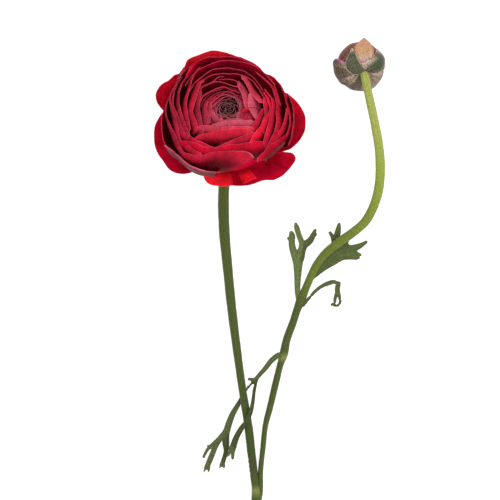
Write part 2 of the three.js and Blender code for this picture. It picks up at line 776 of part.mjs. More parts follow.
const flower = new THREE.Group();
flower.add(
	namedMesh( 'main_stem', geometryOf( mainBody( mainStem ) ), stemGreen ),
	namedMesh( 'bud_stem', geometryOf( mainBody( budStem ) ), paleStemGreen ),
	leafMesh( 'leaf_upper_left', upperLeftLeaf ),
	leafMesh( 'leaf_upper_right', upperRightLeaf ),
	leafMesh( 'leaf_small_curled', curledLeaf ),
	leafMesh( 'leaf_lower', lowerLeaf ),
	bloom,
	bud
);

export default flower;
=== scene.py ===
"""Dresses a cut persian buttercup: one open red bloom, one closed bud, two stems and four cut leaves.

The flower lies on its back. +Z is up, +Y runs from the cut end to the flowers, +X is the side of the bud.
"""

import math
import random

import bmesh
import bpy
from bpy.props import FloatProperty, FloatVectorProperty, IntProperty, PointerProperty
from bpy.types import Operator, Panel, PropertyGroup
from mathutils import Euler, Matrix, Vector
from mathutils.kdtree import KDTree


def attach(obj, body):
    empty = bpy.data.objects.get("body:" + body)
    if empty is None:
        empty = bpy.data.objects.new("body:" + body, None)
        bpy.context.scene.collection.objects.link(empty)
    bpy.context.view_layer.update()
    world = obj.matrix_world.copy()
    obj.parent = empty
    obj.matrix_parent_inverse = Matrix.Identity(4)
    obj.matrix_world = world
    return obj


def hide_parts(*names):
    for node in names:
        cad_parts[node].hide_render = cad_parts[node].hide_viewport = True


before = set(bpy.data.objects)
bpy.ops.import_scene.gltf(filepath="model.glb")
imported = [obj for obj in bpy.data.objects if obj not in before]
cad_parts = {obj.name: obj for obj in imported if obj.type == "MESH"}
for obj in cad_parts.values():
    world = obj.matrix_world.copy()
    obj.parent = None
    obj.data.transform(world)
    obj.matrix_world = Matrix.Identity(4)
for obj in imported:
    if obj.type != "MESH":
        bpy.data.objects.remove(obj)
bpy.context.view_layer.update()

bl_info = {
    "name": "Persian Buttercup",
    "version": (1, 0, 0),
    "blender": (4, 5, 0),
    "location": "View3D > Sidebar > Buttercup",
    "description": "Builds the petals, bud, stems and leaves of a cut persian buttercup",
    "category": "Add Mesh",
}

MM = 0.001
GOLDEN_ANGLE = 137.508
FLOOR_GAP = 0.35 * MM
SHARP_ANGLE = math.radians(55)
CUP_SEED = 11
HEART_SEED = 5

# Columns and rows of the grids that petals and sepals are made from, and sides of the turned bodies.
GUARD_GRID = (44, 30)
CUP_GRID = (46, 18)
BALL_GRID = (20, 10)
HEART_GRID = (16, 8)
CALYX_GRID = (16, 14)
BUD_PETAL_GRID = (22, 20)
BUD_SEPAL_GRID = (30, 26)
BUD_FRONT_GRID = (26, 26)
LARGE_BODY_SIDES = 32
SMALL_BODY_SIDES = 24

# The crease of a guard petal, folded in and also painted darker as shade: its place across the petal, from -1
# to 1, and its width.
CREASE_PLACE = 0.4
CREASE_WIDTH = 0.14

# Cup petals: how far they run past the ends of their rims, how far their round corners reach and how square
# they are, how far they lean in near the axis and far from it, in millimetres, and how much of that is left
# at the back of the bloom.
RIM_OVERRUN = 1.06
CORNER_REACH = 1.08
CORNER_POWER = 7
LEAN_NEAR = 6
LEAN_FAR = 4.6
LEAN_AT_BACK = 0.15

# The tone at which a petal is plain scarlet: below it is crimson, above it orange-red, which is partly the
# petals' own colour and partly painted glow of light shining through thin petals. Each petal's tone is partly
# its own colour and partly painted light and shade.
SCARLET_TONE = 0.62

# Steps and ribs of the stems, the step in millimetres and the ribs' depth as a share of the radius.
STEM_STEP = 0.6
RIBS = 11
RIB_DEPTH = 0.022

# Cut leaves, in millimetres: the step along a lobe, how far a point looks for lobes, how round the forks are,
# the margin of the grid, how far the trimmed edge may stand out, the most that it is moved, the step that its
# slope is taken over, the width and depth of a vein, the rise of the sides, and the lift over the lobes' own
# height. A dark lobe keeps a share of its colour.
LOBE_STEP = 0.2
LOBE_REACH = 5
FORK_ROUNDING = 0.22
GRID_MARGIN = 4
EDGE_SLACK = 0.05
EDGE_PULL = 0.3
SLOPE_STEP = 0.05
VEIN_WIDTH = 0.22
VEIN_DEPTH = 0.12
SIDE_RISE = 0.16
BLADE_LIFT = 0.45
FAR_AWAY = 9
DARK_LOBE = 0.62

# Lamps: name, place and width in metres, watts and colour. Then the places that lamps and camera look at.
LAMPS = (
    ("Key light", (0.55, -0.15, 0.9), 0.9, 5, (1, 0.99, 0.97)),
    ("Fill light", (-0.6, 0.5, 0.8), 0.8, 1.2, (0.97, 0.98, 1)),
)
LAMP_TARGET = (0, 0.05, 0)
VIEW_MIDDLE = (-8.5 * MM, 14.1 * MM)
FLOWER_HEIGHT = 17 * MM
FLOOR_SIZE = 3
FLOOR_HEIGHT = -0.02 * MM

# Finishes: blotches, how often a streak breaks off along a petal, the range of the noises, the depth of the
# relief in metres, and what tissue_material is given for each finish.
BLOTCHES_PER_METRE = 190
STREAK_BREAKS = 1.6
NOISE_RANGE = (0.3, 0.7)
RELIEF_DEPTH = 0.3 * MM
FINISHES = {
    "Silky red petal": dict(
        roughness=0.5, streaks=46, streak_depth=0.26, speckle=900, speckle_depth=0.07, bump=0.22, rims=0.4,
        shine=0.04, blotch_depth=0.3,
    ),
    "Dark heart petal": dict(
        roughness=0.55, sheen=0.1, streaks=14, streak_depth=0.2, speckle=1500, speckle_depth=0.25, bump=0.4,
    ),
    "Downy sepal": dict(
        roughness=0.7, sheen=0.3, streaks=14, streak_depth=0.42, speckle=1500, speckle_depth=0.65, bump=0.6,
    ),
    "Bud petal": dict(
        roughness=0.6, sheen=0.2, streaks=22, streak_depth=0.24, speckle=1100, speckle_depth=0.2, bump=0.35,
    ),
    "Ribbed green stem": dict(
        roughness=0.5, sheen=0.04, shine=0.15, streaks=30, streak_depth=0.14, speckle=2200,
        speckle_depth=0.32, bump=0.3,
    ),
    "Grey-green leaf": dict(
        roughness=0.6, sheen=0.05, shine=0.15, streaks=20, streak_depth=0, speckle=1500, speckle_depth=0.3,
        bump=0.35,
    ),
}

# The seats of the two flowers, as in the solids: place in millimetres and turn in degrees.
BLOOM_SEAT = (-17.3, 61.5, 13.5)
BLOOM_TURN = (-22, 0, 0)
BUD_SEAT = (39, 89.7, 17.6)
BUD_TURN = (15, 10, 0)

# Guard petals: tone of the red, partly the petal's own colour and partly painted light and shade, dust with
# painted sheen on the back, height of the rim, sag of the belly, depth of the crease, which is also painted
# darker as shade, and the rim as x, y in the bloom's own frame, in millimetres.
GUARD_PETALS = (
    (0.75, 0.15, 8, 5.5, 0, (
        (-18.6, 27.4), (-21.3, 26), (-23.2, 25.2), (-25.4, 23.1), (-27.3, 21.9), (-29, 20.4), (-30.2, 18.3),
        (-30.8, 16.2), (-30.7, 14.1), (-30.1, 12.1), (-29.1, 10.6), (-27.8, 8.9), (-26.3, 7.6),
    )),
    (0.45, 0.2, 4, 4, 0, (
        (-26.8, 11), (-28.3, 9.5), (-29.6, 7.3), (-30.7, 5.1), (-31.3, 2.7), (-31.5, 0.1), (-31.4, -3),
        (-31.1, -5.6), (-30.3, -8.2), (-29.1, -10.5), (-27.6, -12.6), (-26.1, -15), (-24.6, -16.6),
        (-22.5, -17.8), (-20.1, -18.2), (-18.1, -18.1), (-16, -17.7),
    )),
    (1, 0, 13, 6.9, 0, (
        (2.8, 31.6), (0.9, 32.3), (-1, 32.9), (-3, 33.5), (-4.9, 33.9), (-7.3, 34.2), (-8.7, 33.9),
        (-11.6, 32.9), (-14.5, 31.8), (-16.8, 30.6), (-17.8, 29.6), (-18.6, 27.1), (-19.5, 24.8),
    )),
    (0.5, 0, 10, 6.5, 0, (
        (15.1, 23.7), (14.2, 25.8), (13.5, 26.9), (12.5, 28.3), (10.5, 29.9), (7.6, 31.5), (5.2, 32.5),
        (3.1, 33), (0.9, 33.7), (-2, 33.9), (-4.4, 33.3),
    )),
    (0.4, 0, 11, 6, 0, (
        (25, 10.8), (23.9, 13.9), (23, 16.1), (22.3, 17.7), (21.1, 19.7), (19.6, 21.7), (17.9, 23.1),
        (16.3, 23.9), (14.4, 24.8), (12.5, 25.6),
    )),
    (0.72, 0, 6, 5, 0, (
        (21.9, -9.3), (23.6, -8.6), (25.5, -8), (27.4, -6.6), (29.3, -4.5), (30.8, -2.1), (31.8, 0.4),
        (32.1, 3.5), (32, 6.6), (31.3, 9.2), (29.8, 12.1), (27.4, 15.3), (25.1, 17.4), (23.3, 18.3),
    )),
    (0.2, 0, 2, 3, 0, (
        (2.3, -23.1), (5.7, -23.1), (8.9, -22.8), (11.5, -21.8), (13.5, -20.9), (15.6, -20.5), (18.3, -20.4),
        (19.9, -19.7), (22.1, -18.5), (23.8, -16.8), (26, -14.1), (27.4, -12.1), (28, -10.4), (27.6, -9.2),
        (26.4, -8.1), (24, -7.8), (21.9, -7.6),
    )),
    (1, 0, 1.8, 3.6, 0.8, (
        (-11.4, -18), (-10.6, -18.7), (-10, -20.2), (-8.8, -21.6), (-6.8, -22.4), (-4.4, -22.8), (-2, -23),
        (0.4, -22.8), (2.8, -22.4), (5.2, -22.2), (7.6, -21.4), (10.1, -20.1), (11.5, -19.3),
    )),
)

# Cup petals that show, from the outside in: tone of the red, partly the petal's own colour and partly painted
# light and shade, dust with painted sheen on the back, lift of the rim, height of the base, the least share
# of its lean that the petal keeps, how much of its width one side keeps at the root (its left, seen from
# outside, if below zero, and neither if zero), and the rim as x, y in the bloom's own frame, in millimetres.
CUP_PETALS = (
    (0.35, 1.3, 0.1, 0, 0, 0.75, (
        (-26.3, -12.2), (-24.8, -13.7), (-23.2, -15.1), (-21.8, -16.5), (-19.8, -18.4), (-17.8, -20.5),
        (-15.5, -22.2), (-12.6, -23.6), (-10.4, -24.4), (-8.3, -25), (-5.9, -25.3), (-3.9, -25.3),
    )),
    (0.35, 0.1, 0, 0, 0, 0, (
        (-25.6, 5.3), (-27, 3), (-27.7, 0.6), (-27.9, -2.4), (-27.6, -6.4), (-27, -9.9), (-25.7, -12.4),
        (-23.9, -14.2), (-22, -16),
    )),
    (0.25, 0.1, 0, 0, 0, 0, (
        (24.5, -12), (25.5, -10.1), (26.1, -6.9), (26.6, -3.4), (26.7, 0.3), (26.6, 3.4), (26, 6),
        (25.2, 8.5), (24.3, 10.3),
    )),
    (0.5, 0.05, 0, 0, 0, 0, (
        (17.8, 14.4), (16.3, 16.8), (14.8, 18.5), (13.4, 20.3), (12, 21.9), (9.8, 23.8), (7.6, 25.2),
        (5.2, 26.6), (2.6, 27.5), (0.3, 27.8), (-2, 27.6), (-4.4, 27.4), (-6.8, 28.1), (-9.2, 28.2),
        (-11.6, 27.3), (-13.8, 26.1), (-15.4, 24.4), (-16.5, 22.4), (-17.3, 20.1), (-18.1, 17.5),
        (-18.9, 15.1),
    )),
    (0.35, 0.05, -0.3, 0, 0, 0, (
        (23.2, -9), (24.5, -6.3), (25.1, -3.6), (25, -0.6), (24.5, 2.9), (23.7, 6), (23.2, 8.7), (22.4, 11.4),
        (20.9, 14.6), (18.7, 17.2),
    )),
    (0.12, 0.06, 0, 0, 0, 0, (
        (-18.9, 23), (-19.7, 19.7), (-20.7, 16.6), (-21.8, 14.1), (-23, 12), (-24.3, 9.4), (-25.2, 7.1),
        (-25.9, 4.9), (-26.1, 2.1), (-25.7, -0.2), (-25.1, -2.2), (-23.9, -5.3), (-22.7, -7.7), (-21.8, -9.9),
        (-21.1, -11.8), (-20.2, -13.8), (-19.1, -15.7), (-17.9, -17.1),
    )),
    (0.35, 0, -0.2, 1, 0, -0.4, (
        (11.5, -20.1), (12.7, -18.7), (14.1, -17.5), (15, -16.4), (16.4, -14.7), (18.2, -13.3), (19.6, -12.2),
        (21, -10.9), (22.4, -9.6), (23.5, -8.7), (24, -7.6),
    )),
    (0.3, 0.1, -0.2, 2, 0, 0, (
        (20.2, 5.3), (19.9, 8), (19.6, 10.7), (18.9, 13), (17.8, 14.9), (15.8, 17.4), (14.1, 19.7),
        (12.2, 21.5), (10, 22.9), (7.2, 23.9), (3.8, 24.6), (0.4, 25.3), (-2.3, 25.1), (-4.4, 24.9),
        (-6.8, 23.9), (-8.7, 22.7), (-10.8, 21.5), (-12.6, 20.5), (-14, 19), (-15.3, 17.5), (-16.4, 15.7),
        (-17.2, 13.7),
    )),
    (0.3, 0.1, 0, 0, 1, 0.1, (
        (-19.6, -14.5), (-18.6, -16.5), (-16.8, -17.5), (-14.5, -18.3), (-12.1, -18.7), (-9.7, -18.5),
        (-7.3, -17.9), (-4.9, -17.7), (-2, -17.7), (0.9, -17.5), (3.8, -17.4), (6.7, -17.3), (8.9, -17.4),
    )),
    (0.1, 0.1, -0.1, 2, 0, 0, (
        (-16, 24), (-17.4, 22.6), (-18.9, 21), (-20, 18.8), (-21, 16.1), (-22.3, 13.7), (-23.5, 11.3),
        (-24.1, 8.8), (-24.1, 5.7), (-23.3, 2.6), (-22.3, -0.5), (-21.6, -2.9), (-21, -5.5), (-20.6, -8.1),
        (-19.9, -10.6), (-19, -12.3),
    )),
    (0.5, 0.1, -0.3, 8, 0, 0, (
        (17.8, -12), (19.7, -9.4), (21.4, -6.6), (22.4, -4.3), (23.1, -1.6), (23.6, 1.1), (23.7, 3.2),
    )),
    (0.44, 0, 0, 10, 0, 0, (
        (-19.7, -11.7), (-18.6, -12.3), (-17.2, -12.4), (-15.4, -13), (-12.9, -14), (-11.2, -15),
        (-9.4, -15.7), (-7.3, -16.2), (-5.1, -16.3), (-3, -15.7), (-0.7, -15.1), (1.6, -14.8), (3.8, -14.7),
        (6.1, -14.3), (8.4, -13.7), (10.9, -13.3), (12.7, -12.8), (14, -12.9), (14.7, -13.6),
    )),
    (0.3, 0.1, -0.2, 9, 0, 0, (
        (-18.4, -12.4), (-16.9, -13.8), (-15.9, -14.9), (-14.5, -16.1), (-12.9, -17), (-10.7, -17.8),
    )),
    (0.28, 0.05, 0, 8, 0.45, 0, (
        (14.9, -15.1), (16.8, -12.5), (18.5, -8.9), (19.4, -5.8), (19.7, -3.2), (19.5, -0.2), (19.7, 3),
        (19.6, 5.1), (19, 7.2), (18.6, 9.3), (18, 11.2), (17.1, 12.7), (15.6, 14.3), (13.7, 16.2),
        (11.5, 17.9),
    )),
    (0.4, 0.1, 0, 9, 0, 0, (
        (13.7, -13.5), (14.3, -12), (15, -10), (15.6, -7.7), (16.2, -5.4), (16.8, -2.8), (17.1, -0.5),
        (17.8, 2.2), (17.8, 4.4), (17.3, 6.5), (16.1, 8.2), (14.6, 10),
    )),
    (0.06, 0.1, -0.1, 3, 0, 0, (
        (-19.7, 17.3), (-21, 14.8), (-22.2, 12.1), (-22.8, 9), (-23, 5.7), (-22.7, 3.5), (-21.8, 1.2),
        (-20.9, -1.2), (-20.2, -3.4), (-19.6, -5.5), (-18.8, -7.5), (-17.2, -9.4), (-15.9, -10.4),
    )),
    (0.1, 0.1, -0.1, 4, 0, 0, (
        (-16.9, 17.3), (-18.5, 15.7), (-19.6, 13), (-20.3, 10.5), (-20.6, 7.5), (-20.5, 4.7), (-20, 2.3),
        (-19.5, 0.1), (-18.9, -2), (-18.2, -4.4), (-17.3, -6.8), (-16.2, -9.1), (-15, -10.7),
    )),
    (0.3, 0.08, 0, 12, 0, 0, (
        (-18.1, -8.4), (-17.2, -9.5), (-15.9, -10.4), (-14.5, -11.5), (-12.9, -12.5), (-11.1, -13.4),
        (-9, -14.5), (-7.3, -15.5), (-5.9, -15.9), (-4.4, -15.7), (-2.5, -14.9), (-0, -13.7), (2.6, -12.6),
        (4.3, -11.8), (6.1, -11), (8.1, -10), (9.8, -9.3), (10.9, -8.9),
    )),
    (0.08, 0.05, -0.3, 5, 0, 0, (
        (13.5, 10.3), (12.7, 12.2), (11.5, 14.3), (10.1, 16), (8.4, 17.5), (6.7, 18.8), (4.3, 19.7),
        (1.9, 20.2), (-0.7, 20.7), (-3.2, 20.6), (-5.8, 20.2), (-7.6, 19.6), (-9.2, 18.3), (-11.2, 16.4),
        (-13.1, 14.6), (-14.4, 12.9), (-15.5, 10.9), (-16.3, 8.8),
    )),
    (0.25, 0.1, 0, 5, 0, 0, (
        (-12.1, 21.3), (-13.3, 19.6), (-14.3, 17.9), (-15.1, 15.7), (-15.6, 13.5), (-16, 11.3), (-16.6, 9.1),
        (-17, 7), (-17.4, 4.6), (-17.3, 2.2), (-17, -0.2), (-16.6, -2.6), (-16, -4.9), (-15.1, -7.2),
    )),
    (0.65, 0.05, 0, 10, 0, 0, (
        (7.9, -13.7), (8.9, -12.5), (9.8, -11), (10.9, -9.4), (12, -8), (13, -6.8), (13.8, -5.3),
        (14.7, -3.5), (15.7, -1.8), (16.6, 0), (16.9, 2.1), (16.2, 4.5), (15.4, 6.8), (14.2, 8.3),
    )),
    (0.15, 0.1, -0.5, 6, 0, 0, (
        (14.6, 4.8), (13.8, 7.7), (12.7, 9.8), (11.8, 11.2), (10.9, 12.7), (9.8, 14.3), (8.1, 15.7),
        (6.1, 16.8), (3.3, 17.7), (0.8, 17.7), (-2, 17.8), (-4.2, 17.6), (-6.4, 17.3), (-8.5, 16.3),
        (-10.4, 14.7), (-12.1, 13.1),
    )),
    (0.28, 0.1, -0.2, 7, 0, 0, (
        (7.2, -10), (8.1, -8.9), (9.2, -7.4), (10.2, -5.6), (11, -4.1), (12.1, -1.9), (12.9, -0.3),
        (13.4, 1.3),
    )),
    (0.28, 0.12, -0.1, 7, 0.8, 0, (
        (13, -7.9), (13.5, -5.4), (14.2, -3.3), (14.9, -1.4), (14.6, 0.9), (14.3, 3.2), (13.8, 6.1),
    )),
    (0.4, 0.4, -0.1, 8, 0.9, 0, (
        (12.8, 3.6), (12.1, 4.1), (10.7, 5.7), (9.3, 7.6), (8.4, 9.1), (7.6, 11.2), (6.8, 12.8), (6, 14.2),
        (4.8, 15),
    )),
    (0.36, 0.12, -0.1, 8, 0.85, 0, (
        (-9.7, 13.7), (-11.3, 13), (-12, 11.2), (-12.6, 9), (-13.1, 6.6), (-13.9, 4.2), (-14.5, 1.7),
        (-14.8, -0.4), (-14, -2.6), (-13, -4.9), (-12.1, -7),
    )),
    (0.62, 0.14, 0, 8, 0, 0, (
        (-13.6, -11.3), (-12.6, -10.5), (-10.9, -10.2), (-9.2, -10.1), (-6.3, -9.5), (-3.9, -9.1),
        (-1.9, -8.7), (0.1, -8.5), (2.3, -8.3), (4.8, -8.2), (7.2, -8.1), (8.6, -8.3),
    )),
    (0.15, 0.1, -0.1, 8, 0, 0, (
        (-2.2, 15.9), (-3.2, 15.9), (-4.4, 15.6), (-5.5, 14.7), (-6.8, 13.4), (-8.3, 12.5), (-9.8, 11.7),
        (-11.1, 10.9), (-11.6, 9.5), (-12, 7.6),
    )),
    (0.28, 0.05, -0.5, 8, 0, 0, (
        (5.2, 10.6), (4.5, 12), (3.6, 13.4), (1.9, 14.4), (-0.1, 14.8), (-2, 14.9), (-3.9, 14.5),
    )),
    (0.45, 1, -0.1, 9, 1, 0, (
        (10.5, -3.7), (9.8, -2.2), (8.7, -0.4), (8, 1.2), (7.8, 3.3), (7.9, 5.8), (8.1, 7.8),
    )),
    (0.12, 0.2, -0.3, 9, 0.8, 0, (
        (-10.7, 8.7), (-11.4, 6.5), (-11.8, 3.8), (-12.1, 1.5), (-11.7, -0.7), (-11.3, -3), (-10.9, -5.5),
        (-10.3, -8.1), (-9.7, -9.8),
    )),
    (0.15, 0.2, -0.1, 9, 0, 0, (
        (5.5, 9.9), (4.7, 10.7), (3.3, 10.8), (1.6, 11.1), (-0.3, 11.9), (-1.9, 12.6), (-3.5, 13.3),
        (-5.1, 13.5), (-6.6, 13.2), (-8, 12.3),
    )),
    (0.4, 0.45, 0, 10, 0, 0, (
        (-12.1, -6.5), (-10.7, -6.4), (-7.9, -6.9), (-5.9, -7.6), (-3.9, -7.9), (-1.5, -7.5), (1.4, -7.4),
        (4.3, -7.4), (6.7, -7.1), (8.7, -6.6),
    )),
    (0.2, 0.08, -0.1, 10, 0, 0, (
        (3.9, 7.6), (2.7, 8.4), (0.9, 9.1), (-0.7, 10.2), (-2.2, 10.7), (-3.9, 10.2), (-5.4, 9.6),
        (-6.8, 8.7), (-8.3, 7.9), (-9.5, 7.2), (-10.7, 6.2), (-11.3, 4.2),
    )),
    (0.15, 0.65, -0.2, 10, 1, 0, (
        (6.4, 0.6), (6.2, 2.4), (5.9, 4.3), (5.5, 6.2), (4.9, 8.2), (4.1, 9.8), (3.3, 11.3),
    )),
    (0.12, 0.25, -0.2, 11, 0, 0, (
        (-7.9, 3.9), (-8.6, 2.9), (-8.9, 1.4), (-8.9, -0.2), (-8.5, -2.1), (-8.3, -3.8), (-8.2, -5.8),
    )),
    (0.3, 0.9, 0, 12, 0, 0, (
        (-6.8, -6.4), (-4.9, -5.9), (-2.5, -5.5), (0.1, -5.3), (2.8, -5), (5.7, -4.7), (8.1, -4.4),
        (8.7, -3.9),
    )),
    (0.5, 0.1, 0, 12, 0.9, 0, ((3.8, -1.9), (5.1, -0.7), (6.4, 0.3), (8, 1.2))),
    (0.12, 0.2, 0, 13, 0, 0, (
        (3.3, 5.7), (2.1, 6.7), (0.7, 7.6), (-0.5, 8.1), (-1.6, 7.8), (-2.6, 6.9), (-3.7, 5.7), (-4.9, 4.7),
        (-5.9, 3.8), (-6.4, 2.9),
    )),
    (0.15, 0.35, -0.1, 13, 0, 0, (
        (-6.8, 3.2), (-7.1, 1.6), (-7, 0), (-7.3, -1.7), (-7.5, -3.9), (-7.2, -5.4),
    )),
    (0.15, 0.7, 0, 13, 0, 0, (
        (-6.8, 0.5), (-6.2, -0.8), (-5.5, -2.4), (-4.2, -3.9), (-2.2, -4.7), (0.4, -4.8), (3.3, -4.3),
        (6, -4.2),
    )),
    (0.08, 0.35, 0, 14, 0, 0, (
        (4.2, 3.5), (3.1, 5), (1.4, 5.8), (-0.3, 5.8), (-1.8, 5.2), (-3.2, 4.1), (-4.4, 3), (-5.5, 1.9),
        (-6.1, 0.7),
    )),
)

# Distance from the bloom's axis and height of the petal rims there, in millimetres.
RIM_HEIGHTS = (
    (0, 30.3), (6, 29), (9, 28.2), (12, 27.4), (15, 26.6), (18, 25.8), (21, 24.9), (24, 23.6), (27, 21.5),
    (30, 18.5), (40, 10),
)

# Small petals curled round the axis, in the ball and in the heart: radii and lifts of the first rim and the
# last and height of the base, in millimetres, azimuth of the first petal and half width, in degrees, and
# thickness as a share of a red petal's.
BALL_RADIUS = (12.5, 5.2)
BALL_LIFT = (-2.6, -0.6)
BALL_BASE = 14
BALL_START = 20
BALL_HALF_WIDTH = 50
HEART_RADIUS = (5.2, 0.7)
HEART_BASE = 22
HEART_START = 63
HEART_THICKNESS = 0.8

# Three parts at the front of the bud: lift over the ball, how much wider the ball under it is taken, colours
# of root, middle and tip, and the left and right edges from root to tip as x, y in millimetres.
BUD_MIDDLE = (37.4, 90.8, 8.6)
BUD_RADII = (11.2, 9.7, 8.9)
PEACH_PETAL = (
    0.5, 1.3, ("straw", "peach", "blush"),
    (
        (38.4, 90.1), (37.4, 92.1), (36.2, 94.1), (35.4, 96.7), (35.1, 98.8), (35.8, 100.1), (37.4, 101.5),
        (38.9, 102.8), (39.7, 103.3),
    ),
    (
        (41.3, 90.1), (42.6, 92.4), (43.4, 95.0), (43.7, 97.0), (43.6, 98.6), (42.5, 100.4), (41.3, 101.9),
        (40.3, 102.9), (39.8, 103.3),
    ),
)
LEFT_SEPAL = (
    1.8, 1.1, ("sage", "sage", "moss"),
    (
        (38.7, 88.7), (36.7, 87.8), (34.4, 88.0), (32.5, 89.3), (31.6, 91.4), (31.8, 93.2), (32.7, 95.0),
        (33.6, 97.0), (34.3, 98.7),
    ),
    (
        (39.5, 90.0), (39.3, 90.3), (38.7, 91.1), (37.9, 92.3), (37.1, 93.6), (36.5, 95.0), (35.8, 96.3),
        (35.2, 97.7), (34.5, 98.7),
    ),
)
RIGHT_SEPAL = (
    1.6, 1.1, ("umber", "moss", "sage"),
    (
        (39.7, 90.0), (39.0, 90.8), (38.2, 92.1), (38.1, 93.4), (39.3, 94.4), (41.6, 95.0), (43.4, 95.5),
        (44.3, 97.0), (44.6, 98.8),
    ),
    (
        (40.3, 89.2), (41.3, 88.6), (43.3, 88.2), (45.9, 88.7), (47.8, 90.1), (48.2, 92.4), (48.1, 94.9),
        (46.7, 97.0), (44.9, 98.8),
    ),
)

# Bud petals and sepals in the bud's own frame: azimuth, half width, side profile of radius and height, and
# the colours of root, middle and tip. A sepal has the side of its pink edge, and colours of middle and tip.
BUD_TIP_WIDTH = 0.5
BUD_PETALS = (
    (143, 50, ((1.5, -3.8), (6.1, -4.8), (9.2, -8), (8.2, -12.5), (4.2, -15.9)), ("umber", "mauve", "mauve")),
    (28, 36, ((1.5, -2.4), (6.3, -2.8), (9.5, -7), (8.2, -12.5), (4.2, -15.9)), ("umber", "mauve", "mauve")),
    (232, 40, ((1.5, -2.4), (6.3, -3), (9.4, -8), (8.4, -13), (4.2, -16)), ("umber", "mauve", "blush")),
    (300, 40, ((1.5, -2.4), (6.3, -3), (9.4, -8), (8.4, -13), (4.2, -16)), ("umber", "mauve", "blush")),
)
BUD_SEPALS = (
    (193, 34, ((1.4, -0.9), (6.1, -1.3), (10.4, -5), (10.6, -9.5), (8.5, -13)), -1, ("umber", "rose")),
    (255, 36, ((1.4, -1.2), (6, -1.6), (9.7, -5.4), (10.1, -9.5), (8.1, -13)), 0, ("umber", "mauve")),
    (318, 38, ((1.4, -0.9), (6, -1.3), (10.1, -5), (10.3, -9), (8.6, -12.5)), 1, ("fawn", "rose")),
)

# Profiles of radius and height from the flower's seat, in millimetres.
BUD_PROFILE = ((0, -17.2), (5, -16), (8.3, -12.1), (8.7, -7.5), (6.3, -3.6), (0, -1.8))
BUD_NECK_PROFILE = ((0, -1.3), (2.2, -1.3), (2.9, -0.4), (2.3, 0.6), (0, 0.8))
BLOOM_CORE_PROFILE = (
    (0, -2.4), (3.5, -2.4), (7, -3.2), (11, -2.6), (16, 1), (17, 7), (15, 13), (9, 17), (0, 18),
)
HEART_CORE_PROFILE = ((0, 21), (3.4, 21.4), (4.6, 24), (3.6, 27), (1.4, 28), (0, 28.1))
CALYX_PROFILE = ((0, -4.9), (2.6, -4.9), (3.9, -4.6), (4.3, -3.4), (3.2, -2.7), (0, -2.7))
CALYX_SEPAL_PROFILE = ((2.2, -3.8), (5.5, -4.6), (8.5, -6), (11, -7.8))
CALYX_SEPALS = 5
CALYX_TURN = math.degrees(0.3)
CALYX_HALF_WIDTH = 34
CALYX_TIP_WIDTH = 0.8

# Stem routes from the cut end or the fork to the flower: x, y, z and radius, in millimetres.
MAIN_STEM_ROUTE = (
    (-5.8, -103.4, 1.85, 1.8), (-5.8, -96, 1.95, 1.85), (-5.8, -92.5, 2.1, 2.1), (-6, -87, 2.1, 1.75),
    (-7, -80, 2.15, 1.75), (-9.2, -60.5, 2.5, 1.75), (-11.8, -44.4, 2.9, 1.62), (-14, -28.4, 3, 1.75),
    (-16.5, -8.3, 3.1, 1.95), (-18, 6.9, 3.1, 2.04), (-19.4, 22.2, 3.2, 2.25), (-19.6, 40, 3.2, 2.3),
    (-19, 48, 3.2, 2.3), (-18.3, 54.5, 3.9, 2.3), (-17.7, 57.3, 5.5, 2.3), (-17.3, 59.9, 9.6, 2.4),
)
BUD_STEM_ROUTE = (
    (-5.4, -94.6, 2.1, 1.15), (-4.3, -89.5, 2.1, 1.15), (-4, -79.5, 2.1, 1.1), (-3, -70, 2, 1.12),
    (-1.8, -59.6, 2, 1.2), (-0.1, -53, 2.1, 1.34), (2.7, -41.2, 2.3, 1.43), (4.6, -33.7, 2.6, 1.45),
    (5.7, -30.3, 2.8, 1.8), (7, -24.1, 3.2, 1.66), (9.7, -16.6, 3.9, 1.64), (11.8, -10.2, 4.6, 1.7),
    (13, -7.2, 5, 1.92), (15.1, -2.1, 5.6, 1.65), (17.1, 2.6, 6.2, 1.6), (19.4, 7.4, 6.8, 1.65),
    (22.8, 12, 7.4, 1.7), (28.8, 17.1, 8.3, 1.89), (35.2, 21.7, 9.3, 1.89), (40, 26, 10.2, 1.93),
    (42.9, 30.9, 11, 1.95), (45.7, 39.9, 12.6, 2), (46.3, 46.7, 13.9, 2.04), (46.1, 53.6, 15.3, 1.97),
    (43.9, 67.2, 18.2, 1.87), (41.7, 77, 20, 1.78), (40.4, 83, 20.4, 1.75), (39.8, 86.3, 19.5, 1.75),
    (39.3, 88.6, 16.5, 1.8),
)

# Stem colours by y in millimetres, from the cut end up.
MAIN_STEM_TINTS = (
    (-104, "stem_dark"), (-91, "stem_mid"), (-88, "stem_straw"), (-85.5, "stem_mid"), (-78, "stem_brown"),
    (-70, "stem_dark"), (-20, "stem_mid"), (30, "stem_mid"), (62, "stem_fresh"),
)
BUD_STEM_TINTS = (
    (-95, "stem_mid"), (-34, "stem_mid"), (-31.5, "stem_straw"), (-29, "stem_mid"), (-10, "stem_mid"),
    (2, "stem_fresh"), (14, "stem_fresh"), (45, "stem_light"), (68, "stem_pale"), (92, "stem_pale"),
)

# Stems: name, node of the solids, slot, route, colours, sides, and the first and last y and depth of a scar.
STEMS = (
    ("ribbed_main_stem", "main_stem", "stem", MAIN_STEM_ROUTE, MAIN_STEM_TINTS, 44, (-82, -72, 0.3)),
    ("ribbed_bud_stem", "bud_stem", "pale_stem", BUD_STEM_ROUTE, BUD_STEM_TINTS, 36, None),
)

